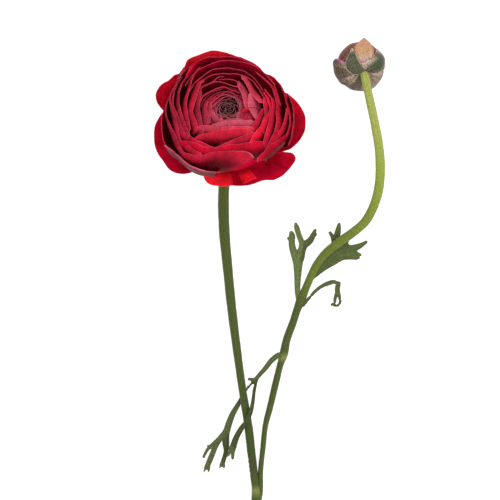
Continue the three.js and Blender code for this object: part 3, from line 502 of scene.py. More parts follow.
# Leaves: lobes of x, y, z and width along the middle line, in millimetres. The first starts in the stem.
UPPER_LEFT_LEAF = (
    ((12.2, -8.6, 5.2, 1.7), (11.7, -4.6, 5.6, 2), (11.7, 4.6, 6.3, 3.1), (11.9, 11.8, 6.8, 4.8)),
    ((11, 9.5, 6.6, 2.8), (9.2, 16.7, 6.6, 2.6), (9.1, 20.7, 6.2, 2), (8.9, 22, 6, 0.7)),
    ((8.9, 18, 6.4, 1.2), (7.4, 19.4, 6.2, 0.5)),
    (
        (12.2, 10, 6.7, 3), (13.3, 17.3, 7.4, 2.2), (12, 20.8, 7.4, 2.2), (11.2, 23.7, 7, 2),
        (10.8, 25.3, 6.7, 0.7),
    ),
    (
        (13, 10.5, 6.7, 2.6), (14.4, 16, 7.2, 3), (16.9, 18.1, 7.6, 2.6), (18.3, 20.7, 7.6, 1.9),
        (19.2, 22.9, 7.3, 0.6),
    ),
    ((17.6, 19.6, 7.6, 1.4), (19.7, 21, 7.4, 0.5)),
)
UPPER_RIGHT_LEAF = (
    ((17.6, 2.2, 5.2, 1.6), (22, 6.6, 4.7, 3.4), (26.4, 11, 4.2, 6.6), (31, 14, 4, 7)),
    ((29, 11.6, 4, 3.6), (34.4, 11.8, 3.8, 3.4), (36.9, 11.1, 3.7, 2), (37.4, 10.8, 3.6, 0.8)),
    ((33, 12.6, 3.9, 2.8), (37, 12.3, 3.8, 1.7), (38.6, 11.9, 3.7, 0.6)),
    ((30, 14, 4, 4), (35, 14.6, 4.2, 3.2), (38.3, 16, 4.6, 2), (40.9, 17.6, 4.9, 0.8)),
    ((29, 14, 4, 3.6), (31.6, 17.2, 4, 2.6), (33.8, 20, 4.2, 0.7)),
    ((27, 12, 4.1, 4), (28.1, 18.6, 4.5, 2.7), (28.9, 23, 5, 2), (29.3, 25.5, 5.3, 0.6)),
    ((27.6, 16.4, 4.4, 2.6), (26.5, 19.6, 4.8, 1.6), (24.9, 22.1, 5.2, 0.5)),
)
CURLED_LEAF = (
    (
        (13.8, -9.6, 5, 1), (16.9, -5.8, 5.3, 0.9), (19.6, -2.9, 5.6, 1), (22.3, -1, 5.8, 1.3),
        (24.9, 0.1, 5.8, 1.7), (27.1, 0.6, 5.6, 1.4), (29, -0.4, 5.2, 1.3),
    ),
    ((29.1, 0, 5.2, 1.3), (28.5, -2.5, 4.6, 2.1), (28.7, -4.9, 4, 1.7)),
    ((28.4, -3.6, 4.2, 1.2), (27.6, -6.3, 3.4, 1), (27.1, -8.6, 2.8, 0.7), (26.1, -9.1, 2.6, 0.6)),
    (
        (28.9, -3.8, 4.2, 1.1), (29.5, -6.3, 3.5, 0.8), (29.7, -7.9, 3, 0.8), (29, -9.2, 2.6, 0.8),
        (28, -9.6, 2.4, 0.8), (27, -9.1, 2.5, 0.8),
    ),
)
LOWER_LEAF = (
    (
        (5.6, -30.2, 3.4, 1.91), (3.8, -30.4, 4.2, 2.09), (0.8, -32.5, 4.4, 2.09), (-2, -36, 4.2, 1.83),
        (-5.1, -39.5, 3.8, 1.57), (-6.8, -41.6, 3.3, 1.39),
    ),
    ((-6.3, -41, 3.4, 1.04), (-8.2, -40.8, 3.6, 1.22), (-9.1, -40.5, 3.7, 0.7)),
    (
        (-6.4, -41, 3.4, 0.96), (-8.5, -43.3, 1.3, 0.78), (-10, -45.1, 0.1, 0.78), (-12.8, -50.2, 0.1, 1.57),
        (-16.3, -56.5, 0.4, 2.35), (-18, -61.4, 0.7, 2.7), (-18.9, -65, 0.8, 2.61),
    ),
    (
        (-18.6, -62.5, 0.7, 1.74), (-21.3, -65.6, 1.1, 1.57), (-23.6, -67.6, 1.4, 1.04),
        (-26.4, -70.4, 1.3, 1), (-28.3, -73.9, 1, 0.8),
    ),
    ((-20.4, -65, 1, 1.74), (-22.9, -69, 1.1, 1.83), (-24.8, -73.4, 0.8, 2.1), (-26.7, -77.8, 0.4, 2.17)),
    ((-26.3, -76.6, 0.5, 1.13), (-28.1, -80, 0.2, 0.6)),
    ((-25.3, -69.8, 1.4, 0.7), (-26.5, -68.9, 1.5, 0.6)),
    ((-26.1, -76.6, 0.5, 1.13), (-26.1, -80, 0.2, 0.6)),
    (
        (-18.6, -63, 0.8, 2.26), (-18.8, -68, 0.7, 2.52), (-18.9, -71.4, 0.6, 1.3), (-19.7, -75, 0.4, 1.65),
        (-20.2, -76.8, 0.3, 1.91),
    ),
    ((-20.2, -76, 0.3, 0.96), (-21.4, -78.5, 0.2, 0.5)),
    ((-20, -76, 0.3, 0.96), (-19.4, -78.9, 0.2, 0.5)),
    (
        (-5.9, -40.8, 3.6, 1.22), (-6.7, -45.4, 4.4, 0.96), (-7.2, -49.5, 5, 1.13), (-8.2, -54.4, 5.3, 1.57),
        (-10, -58.6, 5, 1.65), (-12.1, -61.4, 4.2, 2), (-14.5, -65.9, 3, 2.35), (-15.9, -70.2, 2.3, 2.78),
    ),
    ((-15.7, -69.4, 2.4, 1.91), (-15.9, -74.5, 1.9, 0.7)),
    ((-16.4, -69.6, 2.4, 1.57), (-18, -73.4, 2, 0.61)),
)

# Node of the solids, lobes, colour of the blade, and the lobes that are darker by their place in the list.
LEAVES = (
    ("leaf_upper_left", UPPER_LEFT_LEAF, "leaf_light", (4, 5)),
    ("leaf_upper_right", UPPER_RIGHT_LEAF, "leaf_dark", ()),
    ("leaf_small_curled", CURLED_LEAF, "leaf_mid", ()),
    ("leaf_lower", LOWER_LEAF, "leaf_mid", (8, 11)),
)


def linear(red, green, blue):
    """A colour as a screen shows it, 0 to 255, in Blender's linear light."""
    shares = [c / 255 for c in (red, green, blue)]
    return tuple(c / 12.92 if c <= 0.04045 else ((c + 0.055) / 1.055) ** 2.4 for c in shares)


def colour_property(name, *screen):
    return FloatVectorProperty(
        name=name, description=f"Colour of the {name.lower()}", subtype="COLOR", size=3, min=0, max=1,
        default=linear(*screen),
    )


def length_property(name, description, default):
    return FloatProperty(name=name, description=description, default=default, unit="LENGTH")


class ButtercupColours(PropertyGroup):
    """Colours of the flower's tissues."""

    crimson: colour_property("Deep crimson petals", 136, 3, 35)
    scarlet: colour_property("Bright red petals", 188, 4, 37)
    orange_red_glow: colour_property("Orange-red guard petals with painted glow", 252, 34, 50)
    petal_inside: colour_property("Inside of the petals", 201, 10, 54)
    guard_inside: colour_property("Inside of the guard petals", 240, 14, 56)
    petal_dust_and_sheen: colour_property("Dusty backs of the petals with painted sheen", 178, 76, 96)
    petal_rim: colour_property("Thin petal rims", 204, 88, 108)
    heart: colour_property("Dark heart petals", 116, 34, 48)
    heart_green: colour_property("Greenish heart tips", 136, 88, 82)
    peach: colour_property("Peach petal of the bud", 178, 134, 98)
    straw: colour_property("Pale roots of the bud sepals", 176, 158, 136)
    sepal_margin: colour_property("Pale margins of the bud sepals", 178, 150, 140)
    bud_edge: colour_property("Red-brown margins of the peach petal", 138, 44, 44)
    fawn: colour_property("Light brown sepal of the bud", 126, 104, 88)
    blush: colour_property("Pink tips of the bud", 186, 106, 90)
    rose: colour_property("Pink edges of the bud", 206, 104, 160)
    mauve: colour_property("Mauve petals of the bud", 120, 74, 60)
    umber: colour_property("Brown sepals of the bud", 80, 62, 48)
    moss: colour_property("Green sepals of the bud", 62, 68, 44)
    sage: colour_property("Grey-green sepal tips", 76, 78, 56)
    stem_dark: colour_property("Stem near the cut", 56, 70, 26)
    stem_mid: colour_property("Middle of the stems", 66, 78, 30)
    stem_fresh: colour_property("Upper stems", 92, 105, 36)
    stem_light: colour_property("Stem in its bend", 130, 144, 56)
    stem_pale: colour_property("Stem at the bud", 146, 154, 74)
    stem_straw: colour_property("Pale bands at the nodes", 120, 122, 66)
    stem_brown: colour_property("Scar on the main stem", 62, 64, 30)
    leaf_light: colour_property("Pale leaf", 87, 99, 54)
    leaf_mid: colour_property("Leaf", 72, 82, 44)
    leaf_dark: colour_property("Dark leaf", 78, 90, 48)
    calyx: colour_property("Sepals behind the bloom", 118, 130, 74)
    floor: colour_property("Floor", 170, 170, 170)


class ButtercupSizes(PropertyGroup):
    """Sizes of the thin tissues, how many petals stand in the middle, and the camera."""

    petal_thickness: length_property("Petal thickness", "Thickness of a red petal", 0.18 * MM)
    bud_thickness: length_property("Sepal thickness", "Thickness of a sepal or bud petal", 0.6 * MM)
    leaf_thickness: length_property("Leaf thickness", "Thickness of a leaf", 0.45 * MM)
    leaf_cell: length_property("Leaf cell", "Side of a face of the leaves", 0.3 * MM)
    ball_petals: IntProperty(
        name="Ball petals", description="Petals closed over the middle of the bloom", default=24, min=3,
    )
    heart_petals: IntProperty(
        name="Heart petals", description="Small dark petals in the heart", default=34, min=3,
    )
    camera_height: length_property("Camera height", "Height of the camera over the floor", 1.5)
    view_width: length_property("View width", "Width that the camera sees at the flower", 0.21)


def colour(name):
    return Vector(getattr(bpy.context.scene.buttercup_colours, name))


def sizes():
    return bpy.context.scene.buttercup_sizes


# Shaping helpers


def mix(a, b, share):
    return a + (b - a) * share


def smooth_step(low, high, value):
    share = min(max((value - low) / (high - low), 0), 1)
    return share * share * (3 - 2 * share)


def crowded(share):
    """A share from root to tip with its steps crowded towards the tip, where a petal's rim needs them."""
    return 1 - (1 - share) ** 1.6


def spline(points, share):
    """The point at a share of an even, smooth line through the points."""
    place = min(max(share, 0), 1) * (len(points) - 1)
    near = min(int(place), len(points) - 2)
    t = place - near
    before = points[max(near - 1, 0)]
    start, end = points[near], points[near + 1]
    after = points[min(near + 2, len(points) - 1)]
    result = []
    for a, b, c, d in zip(before, start, end, after):
        slope_in, slope_out = (c - a) / 2, (d - b) / 2
        result.append(
            (2 * b - 2 * c + slope_in + slope_out) * t ** 3
            + (3 * c - 3 * b - 2 * slope_in - slope_out) * t ** 2 + slope_in * t + b
        )
    return result


def route_samples(route, step):
    """Evenly spaced points, in millimetres, of a smooth line through uneven points."""
    points = [Vector(p) for p in route]
    gaps = [(b.xyz - a.xyz).length for a, b in zip(points, points[1:])]
    rises = [(b - a) / gap for a, b, gap in zip(points, points[1:], gaps)]
    slopes = [rises[0]]
    for i in range(1, len(rises)):
        slopes.append((rises[i - 1] * gaps[i] + rises[i] * gaps[i - 1]) / (gaps[i] + gaps[i - 1]))
    slopes.append(rises[-1])
    samples = []
    for i, gap in enumerate(gaps):
        pieces = max(round(gap / step), 1)
        for j in range(pieces):
            t = j / pieces
            samples.append(
                points[i] * (2 * t ** 3 - 3 * t ** 2 + 1) + slopes[i] * gap * (t ** 3 - 2 * t ** 2 + t)
                + points[i + 1] * (3 * t ** 2 - 2 * t ** 3) + slopes[i + 1] * gap * (t ** 3 - t ** 2)
            )
    samples.append(points[-1])
    return samples


def flower_matrix(seat, turn):
    return Matrix.Translation(Vector(seat) * MM) @ Euler([math.radians(a) for a in turn]).to_matrix().to_4x4()


def along_tints(tints, y):
    """The colour at y millimetres of a list of places and colour names."""
    for (low, first), (high, second) in zip(tints, tints[1:]):
        if y <= high:
            return mix(colour(first), colour(second), min(max((y - low) / (high - low), 0), 1))
    return colour(tints[-1][1])


class Tissue:
    """A mesh in the making, with a colour at every point."""

    def __init__(self):
        self.mesh = bmesh.new()
        self.mesh.loops.layers.uv.new("UVMap")
        self.tint = self.mesh.verts.layers.float_color.new("tint")
        self.rim = self.mesh.verts.layers.float.new("rim")

    def grid(self, columns, rows, place):
        """An open sheet of create_grid, its points put at place(across, along)."""
        first = len(self.mesh.faces)
        points = bmesh.ops.create_grid(
            self.mesh, x_segments=columns, y_segments=rows, size=1, calc_uvs=True
        )["verts"]
        spots = [(v.co.x, (v.co.y + 1) / 2) for v in points]
        for v, (across, along) in zip(points, spots):
            v.co = place(across, along)
        self.mesh.faces.ensure_lookup_table()
        faces = self.mesh.faces[first:]
        for f in faces:
            f.normal_update()
        for v in points:
            v.normal_update()
        return points, spots, faces

    def blade(self, cells, thickness, place, tint):
        """A thin closed petal. tint(across, along, side) colours it, with side 1 on its back and 0 inside."""
        lining, spots, faces = self.grid(*cells, lambda across, along: place(across, crowded(along)))
        spots = [(across, crowded(along)) for across, along in spots]
        normals = [v.normal.copy() for v in lining]
        tree = KDTree(len(lining))
        for i, v in enumerate(lining):
            tree.insert(v.co, i)
        tree.balance()
        made = bmesh.ops.extrude_face_region(self.mesh, geom=faces)["geom"]
        for v in (v for v in made if isinstance(v, bmesh.types.BMVert)):
            i = tree.find(v.co)[1]
            v.co += normals[i] * thickness / 2
            v[self.tint] = (*tint(*spots[i], 1), 1)
            v[self.rim] = 1
        for v, normal, spot in zip(lining, normals, spots):
            v.co -= normal * thickness / 2
            v[self.tint] = (*tint(*spot, 0), 1)
            v[self.rim] = 0

    def finish(self, name, node, slot, material):
        """The finished piece: it replaces its node and rides on the root."""
        data = bpy.data.meshes.new(name)
        self.mesh.to_mesh(data)
        self.mesh.free()
        for polygon in data.polygons:
            polygon.use_smooth = True
        data.set_sharp_from_angle(angle=SHARP_ANGLE)
        data.materials.append(material)
        piece = bpy.data.objects.new(name, data)
        bpy.context.scene.collection.objects.link(piece)
        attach(piece, "root")
        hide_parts(node)


def turned_body(tissue, profile, sides, matrix, tint):
    """A closed body of one colour, spun round a flower's axis from a profile of radius and height."""
    rows = len(profile) * 3
    body = bmesh.new()
    body.loops.layers.uv.new("UVMap")
    layer = body.verts.layers.float_color.new("tint")
    body.verts.layers.float.new("rim")
    outline = [spline(profile, i / rows) for i in range(rows + 1)]
    line = [body.verts.new((max(r, 0) * MM, 0, z * MM)) for r, z in outline]
    edges = [body.edges.new(pair) for pair in zip(line, line[1:])]
    bmesh.ops.spin(
        body, geom=line + edges, angle=math.tau, steps=sides, use_merge=True, axis=(0, 0, 1), cent=(0, 0, 0),
    )
    bmesh.ops.remove_doubles(body, verts=body.verts, dist=0.01 * MM)
    bmesh.ops.recalc_face_normals(body, faces=body.faces)
    for v in body.verts:
        v[layer] = (*tint, 1)
    bmesh.ops.transform(body, matrix=matrix, verts=body.verts)
    part = bpy.data.meshes.new("turned body")
    body.to_mesh(part)
    body.free()
    tissue.mesh.from_mesh(part)
    bpy.data.meshes.remove(part)


# Materials


def set_inputs(node, values):
    for name, value in values.items():
        node.inputs[name].default_value = value


def tissue_material(
    name, roughness, streaks, streak_depth, speckle, speckle_depth, bump, sheen=0, shine=0.25, rims=0,
    blotch_depth=0,
):
    """A finish over the painted tint: streaks, speckles, blotches, pale rims and fine relief."""
    material = bpy.data.materials.new(name)
    material.use_nodes = True
    nodes, links = material.node_tree.nodes, material.node_tree.links
    shader = nodes["Principled BSDF"]
    set_inputs(shader, {
        "Roughness": roughness, "Sheen Weight": sheen, "Sheen Roughness": 0.4, "Specular IOR Level": shine,
    })

    def node(kind, inputs=(), **settings):
        made = nodes.new(kind)
        for key, value in settings.items():
            setattr(made, key, value)
        set_inputs(made, dict(inputs))
        return made

    def noise(place, scale, detail, roughness=0.5):
        made = node("ShaderNodeTexNoise", {"Scale": scale, "Detail": detail, "Roughness": roughness})
        links.new(place, made.inputs["Vector"])
        return made.outputs["Fac"]

    def shaded(painted, pattern, low, high):
        ramp = node("ShaderNodeMapRange", {
            "From Min": NOISE_RANGE[0], "From Max": NOISE_RANGE[1], "To Min": low, "To Max": high,
        })
        links.new(pattern, ramp.inputs["Value"])
        scale = node("ShaderNodeVectorMath", operation="SCALE")
        links.new(painted, scale.inputs[0])
        links.new(ramp.outputs["Result"], scale.inputs["Scale"])
        return scale.outputs["Vector"]

    place = node("ShaderNodeTexCoord")
    stretch = node("ShaderNodeMapping", {"Scale": (streaks, STREAK_BREAKS, 1)})
    links.new(place.outputs["UV"], stretch.inputs["Vector"])
    streak = noise(stretch.outputs["Vector"], 1, 4, 0.6)
    speck = noise(place.outputs["Object"], speckle, 5)
    blotch = noise(place.outputs["Object"], BLOTCHES_PER_METRE, 2)
    painted = node("ShaderNodeAttribute", attribute_name="tint").outputs["Color"]
    painted = shaded(painted, streak, 1 - streak_depth, 1 + streak_depth)
    painted = shaded(painted, speck, 1 - speckle_depth, 1 + speckle_depth)
    painted = shaded(painted, blotch, 1 - blotch_depth, 1 + 0.6 * blotch_depth)
    if rims:
        # The rim attribute is 1 on the back and 0 inside, so only the faces of the cut edge are between them.
        rim = node("ShaderNodeAttribute", attribute_name="rim")
        between = node("ShaderNodeMath", {1: 0.5}, operation="PINGPONG")
        links.new(rim.outputs["Fac"], between.inputs[0])
        doubled = node("ShaderNodeMath", {1: 2 * rims}, operation="MULTIPLY", use_clamp=True)
        links.new(between.outputs["Value"], doubled.inputs[0])
        blend = node("ShaderNodeMix", {"B": (*colour("petal_rim"), 1)}, data_type="RGBA")
        links.new(doubled.outputs["Value"], blend.inputs["Factor"])
        links.new(painted, blend.inputs["A"])
        painted = blend.outputs["Result"]
    links.new(painted, shader.inputs["Base Color"])
    relief = node("ShaderNodeMath", operation="ADD")
    links.new(streak, relief.inputs[0])
    links.new(speck, relief.inputs[1])
    bumps = node("ShaderNodeBump", {"Strength": bump, "Distance": RELIEF_DEPTH})
    links.new(relief.outputs["Value"], bumps.inputs["Height"])
    links.new(bumps.outputs["Normal"], shader.inputs["Normal"])
    return material


def tissue_finish(name):
    """The finish of that name, made when it is first asked for."""
    return bpy.data.materials.get(name) or tissue_material(name, **FINISHES[name])


# The bloom


def crease_share(across):
    return math.exp(-((across - CREASE_PLACE) / CREASE_WIDTH) ** 2)


def red_tint(tone, dust_and_sheen, crease=0, lining="petal_inside"):
    """The colouring of a red petal: deep to bright red by tone, orange-red with painted glow at the highest
    tones, and a pinkish-grey back where dust_and_sheen is high, partly real bloom and partly painted sheen.
    Painted shade darkens it towards the root and along the crease, and its rim is pale.
    """
    # Above SCARLET_TONE the red turns to orange_red_glow: partly the petal's own colour, partly painted glow
    # of light shining through the thin petal.
    back = (
        mix(colour("crimson"), colour("scarlet"), tone * 1.6) if tone < SCARLET_TONE
        else mix(colour("scarlet"), colour("orange_red_glow"), (tone - SCARLET_TONE) / (1 - SCARLET_TONE))
    )
    inside = mix(colour(lining), back, 0.25 + 0.6 * tone) * min(0.62 + tone, 1)
    dusty_sheen = mix(back, colour("petal_dust_and_sheen"), 0.8)

    def tint(across, along, side):
        # The back turns towards dusty_sheen near the rim: partly the petal's own dusty bloom, partly painted
        # sheen.
        body = mix(inside, mix(back, dusty_sheen, dust_and_sheen * smooth_step(0.35, 0.8, along)), side)
        # Painted shade: darker along the crease, where the fold lies in shade.
        body = body * (1 - 0.8 * crease * crease_share(across))
        # Painted shade: darker towards the root, where the next petal shades it, and a little lighter near
        # the rim; the back falls off more than the inside.
        if side:
            depth = mix(0.3, 1.14, smooth_step(0.54, 0.98, along))
        else:
            depth = mix(0.72, 1.08, smooth_step(0.3, 0.85, along))
        return mix(body * depth, colour("petal_rim"), smooth_step(0.97, 1, along) * mix(0.2, 0.62, side))

    return tint


def rim_height(radius):
    """How high the rims stand at a distance from the bloom's axis, in millimetres."""
    for (near, low), (far, high) in zip(RIM_HEIGHTS, RIM_HEIGHTS[1:]):
        if radius <= far:
            return mix(low, high, (radius - near) / (far - near))
    return RIM_HEIGHTS[-1][1]


def run_on(points, share):
    """The point at a share of a smooth line, which runs straight on past its ends."""
    inside = min(max(share, 0), 1)
    end = spline(points, inside)
    if share == inside:
        return end
    step = 0.04 if share > 1 else -0.04
    before = spline(points, inside - step)
    return [a + (a - b) * (share - inside) / step for a, b in zip(end, before)]


def on_rim(rim_line, across):
    """Distance from the axis and angle of a place on a rim, and the angle past the middle of the petal."""
    middle_x, middle_y = spline(rim_line, 0.5)
    x, y = run_on(rim_line, (across + 1) / 2)
    middle = math.atan2(middle_y, middle_x)
    past = (math.atan2(y, x) - middle + math.pi) % math.tau - math.pi
    return math.hypot(x, y), middle, past


def round_corner(across):
    """The share of its length that a petal keeps towards its sides, so that its corners are round."""
    return (1 - (abs(across) / CORNER_REACH) ** CORNER_POWER) ** (1 / CORNER_POWER)


def around_axis(matrix, radius, angle, height):
    """A place given in millimetres round a flower's axis, kept above the floor."""
    place = matrix @ (Vector((radius * math.cos(angle), radius * math.sin(angle), height)) * MM)
    place.z = max(place.z, FLOOR_GAP)
    return place


def guard_place(matrix, petal, order):
    """A place on a petal that runs out from the base, sags in its belly and turns up to its rim."""
    _tone, _dust_and_sheen, rim, sag, crease, rim_line = petal
    phase = order * 1.7

    def place(across, along):
        reach, middle, past = on_rim(rim_line, across)
        profile = (
            (1.5, -0.8), (5, -2.4), (reach * 0.32, -sag * 0.75), (reach * 0.56, -sag),
            (reach * 0.78, -sag * 0.1), (reach * 0.92, rim * 0.6), (reach, rim),
        )
        radius, height = spline(profile, along)
        opening = math.sin(min(along * 1.3, 1) * math.pi / 2)
        wave = 0.5 * math.sin(3.2 * across + phase) + 0.12 * math.sin(17 * across + 2 * phase)
        height += wave * along ** 2
        height -= crease * 1.6 * crease_share(across) * along
        return around_axis(matrix, radius, middle + past * mix(1.15, 1, opening), height)

    return place


def cup_place(matrix, rim_line, lift, base, order, lean=0, taper=0):
    """A place on a petal that rises from the base, leans in over the middle and ends at its rim."""
    phase = order * 2.3

    def place(across, along):
        across *= RIM_OVERRUN
        rim, middle, past = on_rim(rim_line, across)
        closing = max(mix(LEAN_AT_BACK, 1, (1 - math.sin(middle + past)) / 2), lean)
        if past * taper > 0:
            closing *= 1 - abs(taper) * smooth_step(0.2, 0.95, abs(across))
        leaning = (
            mix(LEAN_NEAR, LEAN_FAR, smooth_step(8, 14, rim)) * smooth_step(31, 17, rim)
            * smooth_step(2, 8, rim) * closing
        )
        wide = rim + leaning
        top = rim_height(rim) + lift + 0.15 * math.sin(5 * across + phase)
        profile = (
            (wide * 0.5, base), (wide * 0.88, mix(base, top, 0.43)),
            (wide * 0.985, top - 1.15 * leaning - 1.5), (rim + 0.6 * leaning, top - 0.36 * leaning - 0.2),
            (rim, top),
        )
        radius, height = spline(profile, along * round_corner(across))
        if past * taper > 0:
            spread = mix(abs(taper), 1, along ** 2)
        else:
            spread = mix(0.6, 1, 1 - (1 - along) ** 1.4)
        radius += 0.06 * math.sin(23 * across + phase) * along ** 3
        return around_axis(matrix, radius, middle + past * spread, height)

    return place


def curled_rim(azimuth, half, radius, spiral):
    """The rim of a small petal curled round the axis, as x, y."""
    rim_line = []
    for i in range(7):
        across = i / 3 - 1
        angle = math.radians(azimuth + across * half)
        reach = radius * (1 + spiral * across)
        rim_line.append((reach * math.cos(angle), reach * math.sin(angle)))
    return rim_line


class BUTTERCUP_OT_guard_petals(Operator):
    """Build the broad outer petals that stand out round the bloom"""

    bl_idname = "buttercup.guard_petals"
    bl_label = "Guard petals"

    def execute(self, context):
        matrix = flower_matrix(BLOOM_SEAT, BLOOM_TURN)
        tissue = Tissue()
        for order, petal in enumerate(GUARD_PETALS):
            tone, dust_and_sheen, _rim, _sag, crease, _rim_line = petal
            tissue.blade(
                GUARD_GRID, sizes().petal_thickness, guard_place(matrix, petal, order),
                red_tint(tone, dust_and_sheen, crease, "guard_inside"),
            )
        tissue.finish("guard_petals", "flower_petals", "petal", tissue_finish("Silky red petal"))
        return {"FINISHED"}


class BUTTERCUP_OT_cup_petals(Operator):
    """Build the cupped petals of the bloom, and the ball of petals closed over its middle"""

    bl_idname = "buttercup.cup_petals"
    bl_label = "Cup petals"

    def execute(self, context):
        matrix = flower_matrix(BLOOM_SEAT, BLOOM_TURN)
        chance = random.Random(CUP_SEED)
        tissue = Tissue()
        turned_body(tissue, BLOOM_CORE_PROFILE, LARGE_BODY_SIDES, matrix, colour("petal_inside"))
        for order, (tone, dust_and_sheen, lift, base, lean, taper, rim_line) in enumerate(CUP_PETALS):
            tissue.blade(
                CUP_GRID, sizes().petal_thickness,
                cup_place(matrix, rim_line, lift, base, order, lean, taper), red_tint(tone, dust_and_sheen),
            )
        count = sizes().ball_petals
        for order in range(count):
            inward = (order / (count - 1)) ** 0.7
            radius = mix(*BALL_RADIUS, inward)
            rim_line = curled_rim(
                BALL_START + order * GOLDEN_ANGLE, BALL_HALF_WIDTH, radius, chance.uniform(0.02, 0.09),
            )
            tissue.blade(
                BALL_GRID, sizes().petal_thickness,
                cup_place(matrix, rim_line, mix(*BALL_LIFT, inward), BALL_BASE, order),
                red_tint(chance.uniform(0, 0.3), chance.uniform(0.1, 0.4)),
            )
        tissue.finish("cup_petals", "flower_petals", "petal", tissue_finish("Silky red petal"))
        return {"FINISHED"}


class BUTTERCUP_OT_heart(Operator):
    """Build the small dark petals packed in the heart of the bloom"""

    bl_idname = "buttercup.heart"
    bl_label = "Heart"

    def execute(self, context):
        matrix = flower_matrix(BLOOM_SEAT, BLOOM_TURN)
        chance = random.Random(HEART_SEED)
        tissue = Tissue()
        turned_body(tissue, HEART_CORE_PROFILE, SMALL_BODY_SIDES, matrix, colour("heart") * 0.4)
        count = sizes().heart_petals
        for order in range(count):
            inward = order / (count - 1)
            radius = mix(*HEART_RADIUS, inward)
            rim_line = curled_rim(
                HEART_START + order * GOLDEN_ANGLE + chance.uniform(-20, 20), chance.uniform(30, 60),
                radius + chance.uniform(-0.6, 0.4), chance.uniform(-0.35, 0.35),
            )
            lift = chance.uniform(-0.4, 0.3)
            ageing = smooth_step(0, 0.55, inward)
            edge_tint = mix(
                colour("petal_dust_and_sheen") * 0.75,
                mix(colour("heart"), colour("heart_green"), chance.uniform(0.2, 0.8)), ageing,
            )
            body = mix(colour("petal_inside") * 0.5, colour("heart"), ageing) * chance.uniform(0.4, 0.9)

            def tint(across, along, side, body=body, edge_tint=edge_tint):
                return mix(body * mix(0.6, 1, side), edge_tint, smooth_step(0.75, 1, along))

            tissue.blade(
                HEART_GRID, sizes().petal_thickness * HEART_THICKNESS,
                cup_place(matrix, rim_line, lift, HEART_BASE, order), tint,
            )
        tissue.finish("heart_petals", "flower_heart", "heart", tissue_finish("Dark heart petal"))
        return {"FINISHED"}


# Sepals, for both flowers


def leafy_place(matrix, azimuth, half, profile, tip, order, rounding, root=0.6, spiral=0.04):
    """A place on a sepal or bud petal. tip and root are the shares of its width that are left there."""
    turn = spiral if order % 2 else -spiral
    phase = order * 1.9

    def place(across, along):
        edge = across * across
        radius, height = spline(profile, along * (1 - rounding * edge))
        opening = math.sin(min(along * 1.5, 1) * math.pi / 2)
        spread = root + (1 - root) * opening - (1 - tip) * max(along - 0.6, 0) ** 2 / 0.16
        angle = math.radians(azimuth + across * half * spread)
        outward = radius * (1 + turn * across) + 0.12 * math.sin(8 * across + phase) * along
        lift = height + 0.1 * math.sin(13 * across + phase) * along
        return around_axis(matrix, outward, angle, lift)

    return place


def three_part_tint(names, margin):
    """Root, middle and tip in their colours, and a coloured margin."""
    root, middle, tip = (colour(name) for name in names)

    def tint(across, along, side):
        body = mix(root, middle, smooth_step(0.2, 0.5, along))
        body = mix(body, tip, smooth_step(0.72, 0.98, along))
        body = mix(body, colour(margin), smooth_step(0.86, 1, max(abs(across), along)) * 0.8)
        return body * mix(0.8, 1, side)

    return tint


class BUTTERCUP_OT_calyx(Operator):
    """Build the sepals behind the bloom and the seat they grow from"""

    bl_idname = "buttercup.calyx"
    bl_label = "Calyx"

    def execute(self, context):
        matrix = flower_matrix(BLOOM_SEAT, BLOOM_TURN)
        tissue = Tissue()
        turned_body(tissue, CALYX_PROFILE, SMALL_BODY_SIDES, matrix, colour("calyx"))
        for order in range(CALYX_SEPALS):
            azimuth = CALYX_TURN + order * 360 / CALYX_SEPALS
            place = leafy_place(
                matrix, azimuth, CALYX_HALF_WIDTH, CALYX_SEPAL_PROFILE, CALYX_TIP_WIDTH, order,
                rounding=0.45, root=0.7, spiral=0,
            )
            tissue.blade(
                CALYX_GRID, sizes().bud_thickness, place,
                three_part_tint(("calyx", "calyx", "moss"), "stem_straw"),
            )
        tissue.finish("calyx", "flower_calyx", "calyx", tissue_finish("Downy sepal"))
        return {"FINISHED"}


def bud_place(part):
    """A place on a part of the bud between its two edges, held over the ball of the bud."""
    lift, wider, _names, left, right = part
    middle_x, middle_y, middle_z = BUD_MIDDLE
    wide, long, deep = BUD_RADII

    def place(across, along):
        share = (across + 1) / 2
        x, y = (mix(a, b, share) for a, b in zip(spline(left, along), spline(right, along)))
        reach = ((x - middle_x) / (wide * wider)) ** 2 + ((y - middle_y) / (long * wider)) ** 2
        z = middle_z + deep * math.sqrt(max(1 - reach, 0.04))
        z += lift - 0.9 * across * across * math.sin(math.pi * along) ** 0.5
        return Vector((x, y, z)) * MM

    return place


def bud_tint(names, margin, edge, patch=0):
    """Root, middle and tip in their colours, a coloured margin, and a pale mauve patch low on the left."""
    root, middle, tip = (colour(name) for name in names)

    def tint(across, along, side):
        body = mix(root, middle, smooth_step(0.1, 0.45, along))
        body = mix(body, tip, smooth_step(0.6, 0.98, along))
        low_left = patch * smooth_step(0.1, -0.5, across) * smooth_step(0.85, 0.5, along)
        body = mix(body, mix(colour("straw"), colour("rose"), 0.6 * smooth_step(-0.5, -1, across)), low_left)
        body = mix(body, colour(margin), smooth_step(edge, mix(edge, 1, 0.75), max(abs(across), along)) * 0.9)
        return body * mix(0.8, 1, side)

    return tint


def lobe_tint(names, pink_side):
    """A brown downy lobe with pale streaks at the sides of its root and a coloured edge at its tip."""
    middle, tip = (colour(name) for name in names)

    def tint(across, along, side):
        body = middle * mix(1, 0.8, smooth_step(0.5, 0.9, along))
        streak = smooth_step(0.66, 0.25, along) * mix(0.15, 1, smooth_step(0.3, 0.75, abs(across)))
        body = mix(body, colour("straw"), streak * 0.95)
        pink = smooth_step(0.8, 0.95, pink_side * across) * smooth_step(0.4, 0.5, along)
        body = mix(body, colour("rose"), pink * 0.9)
        return mix(body, tip, smooth_step(0.9, 1, along) * 0.8) * mix(0.8, 1, side)

    return tint


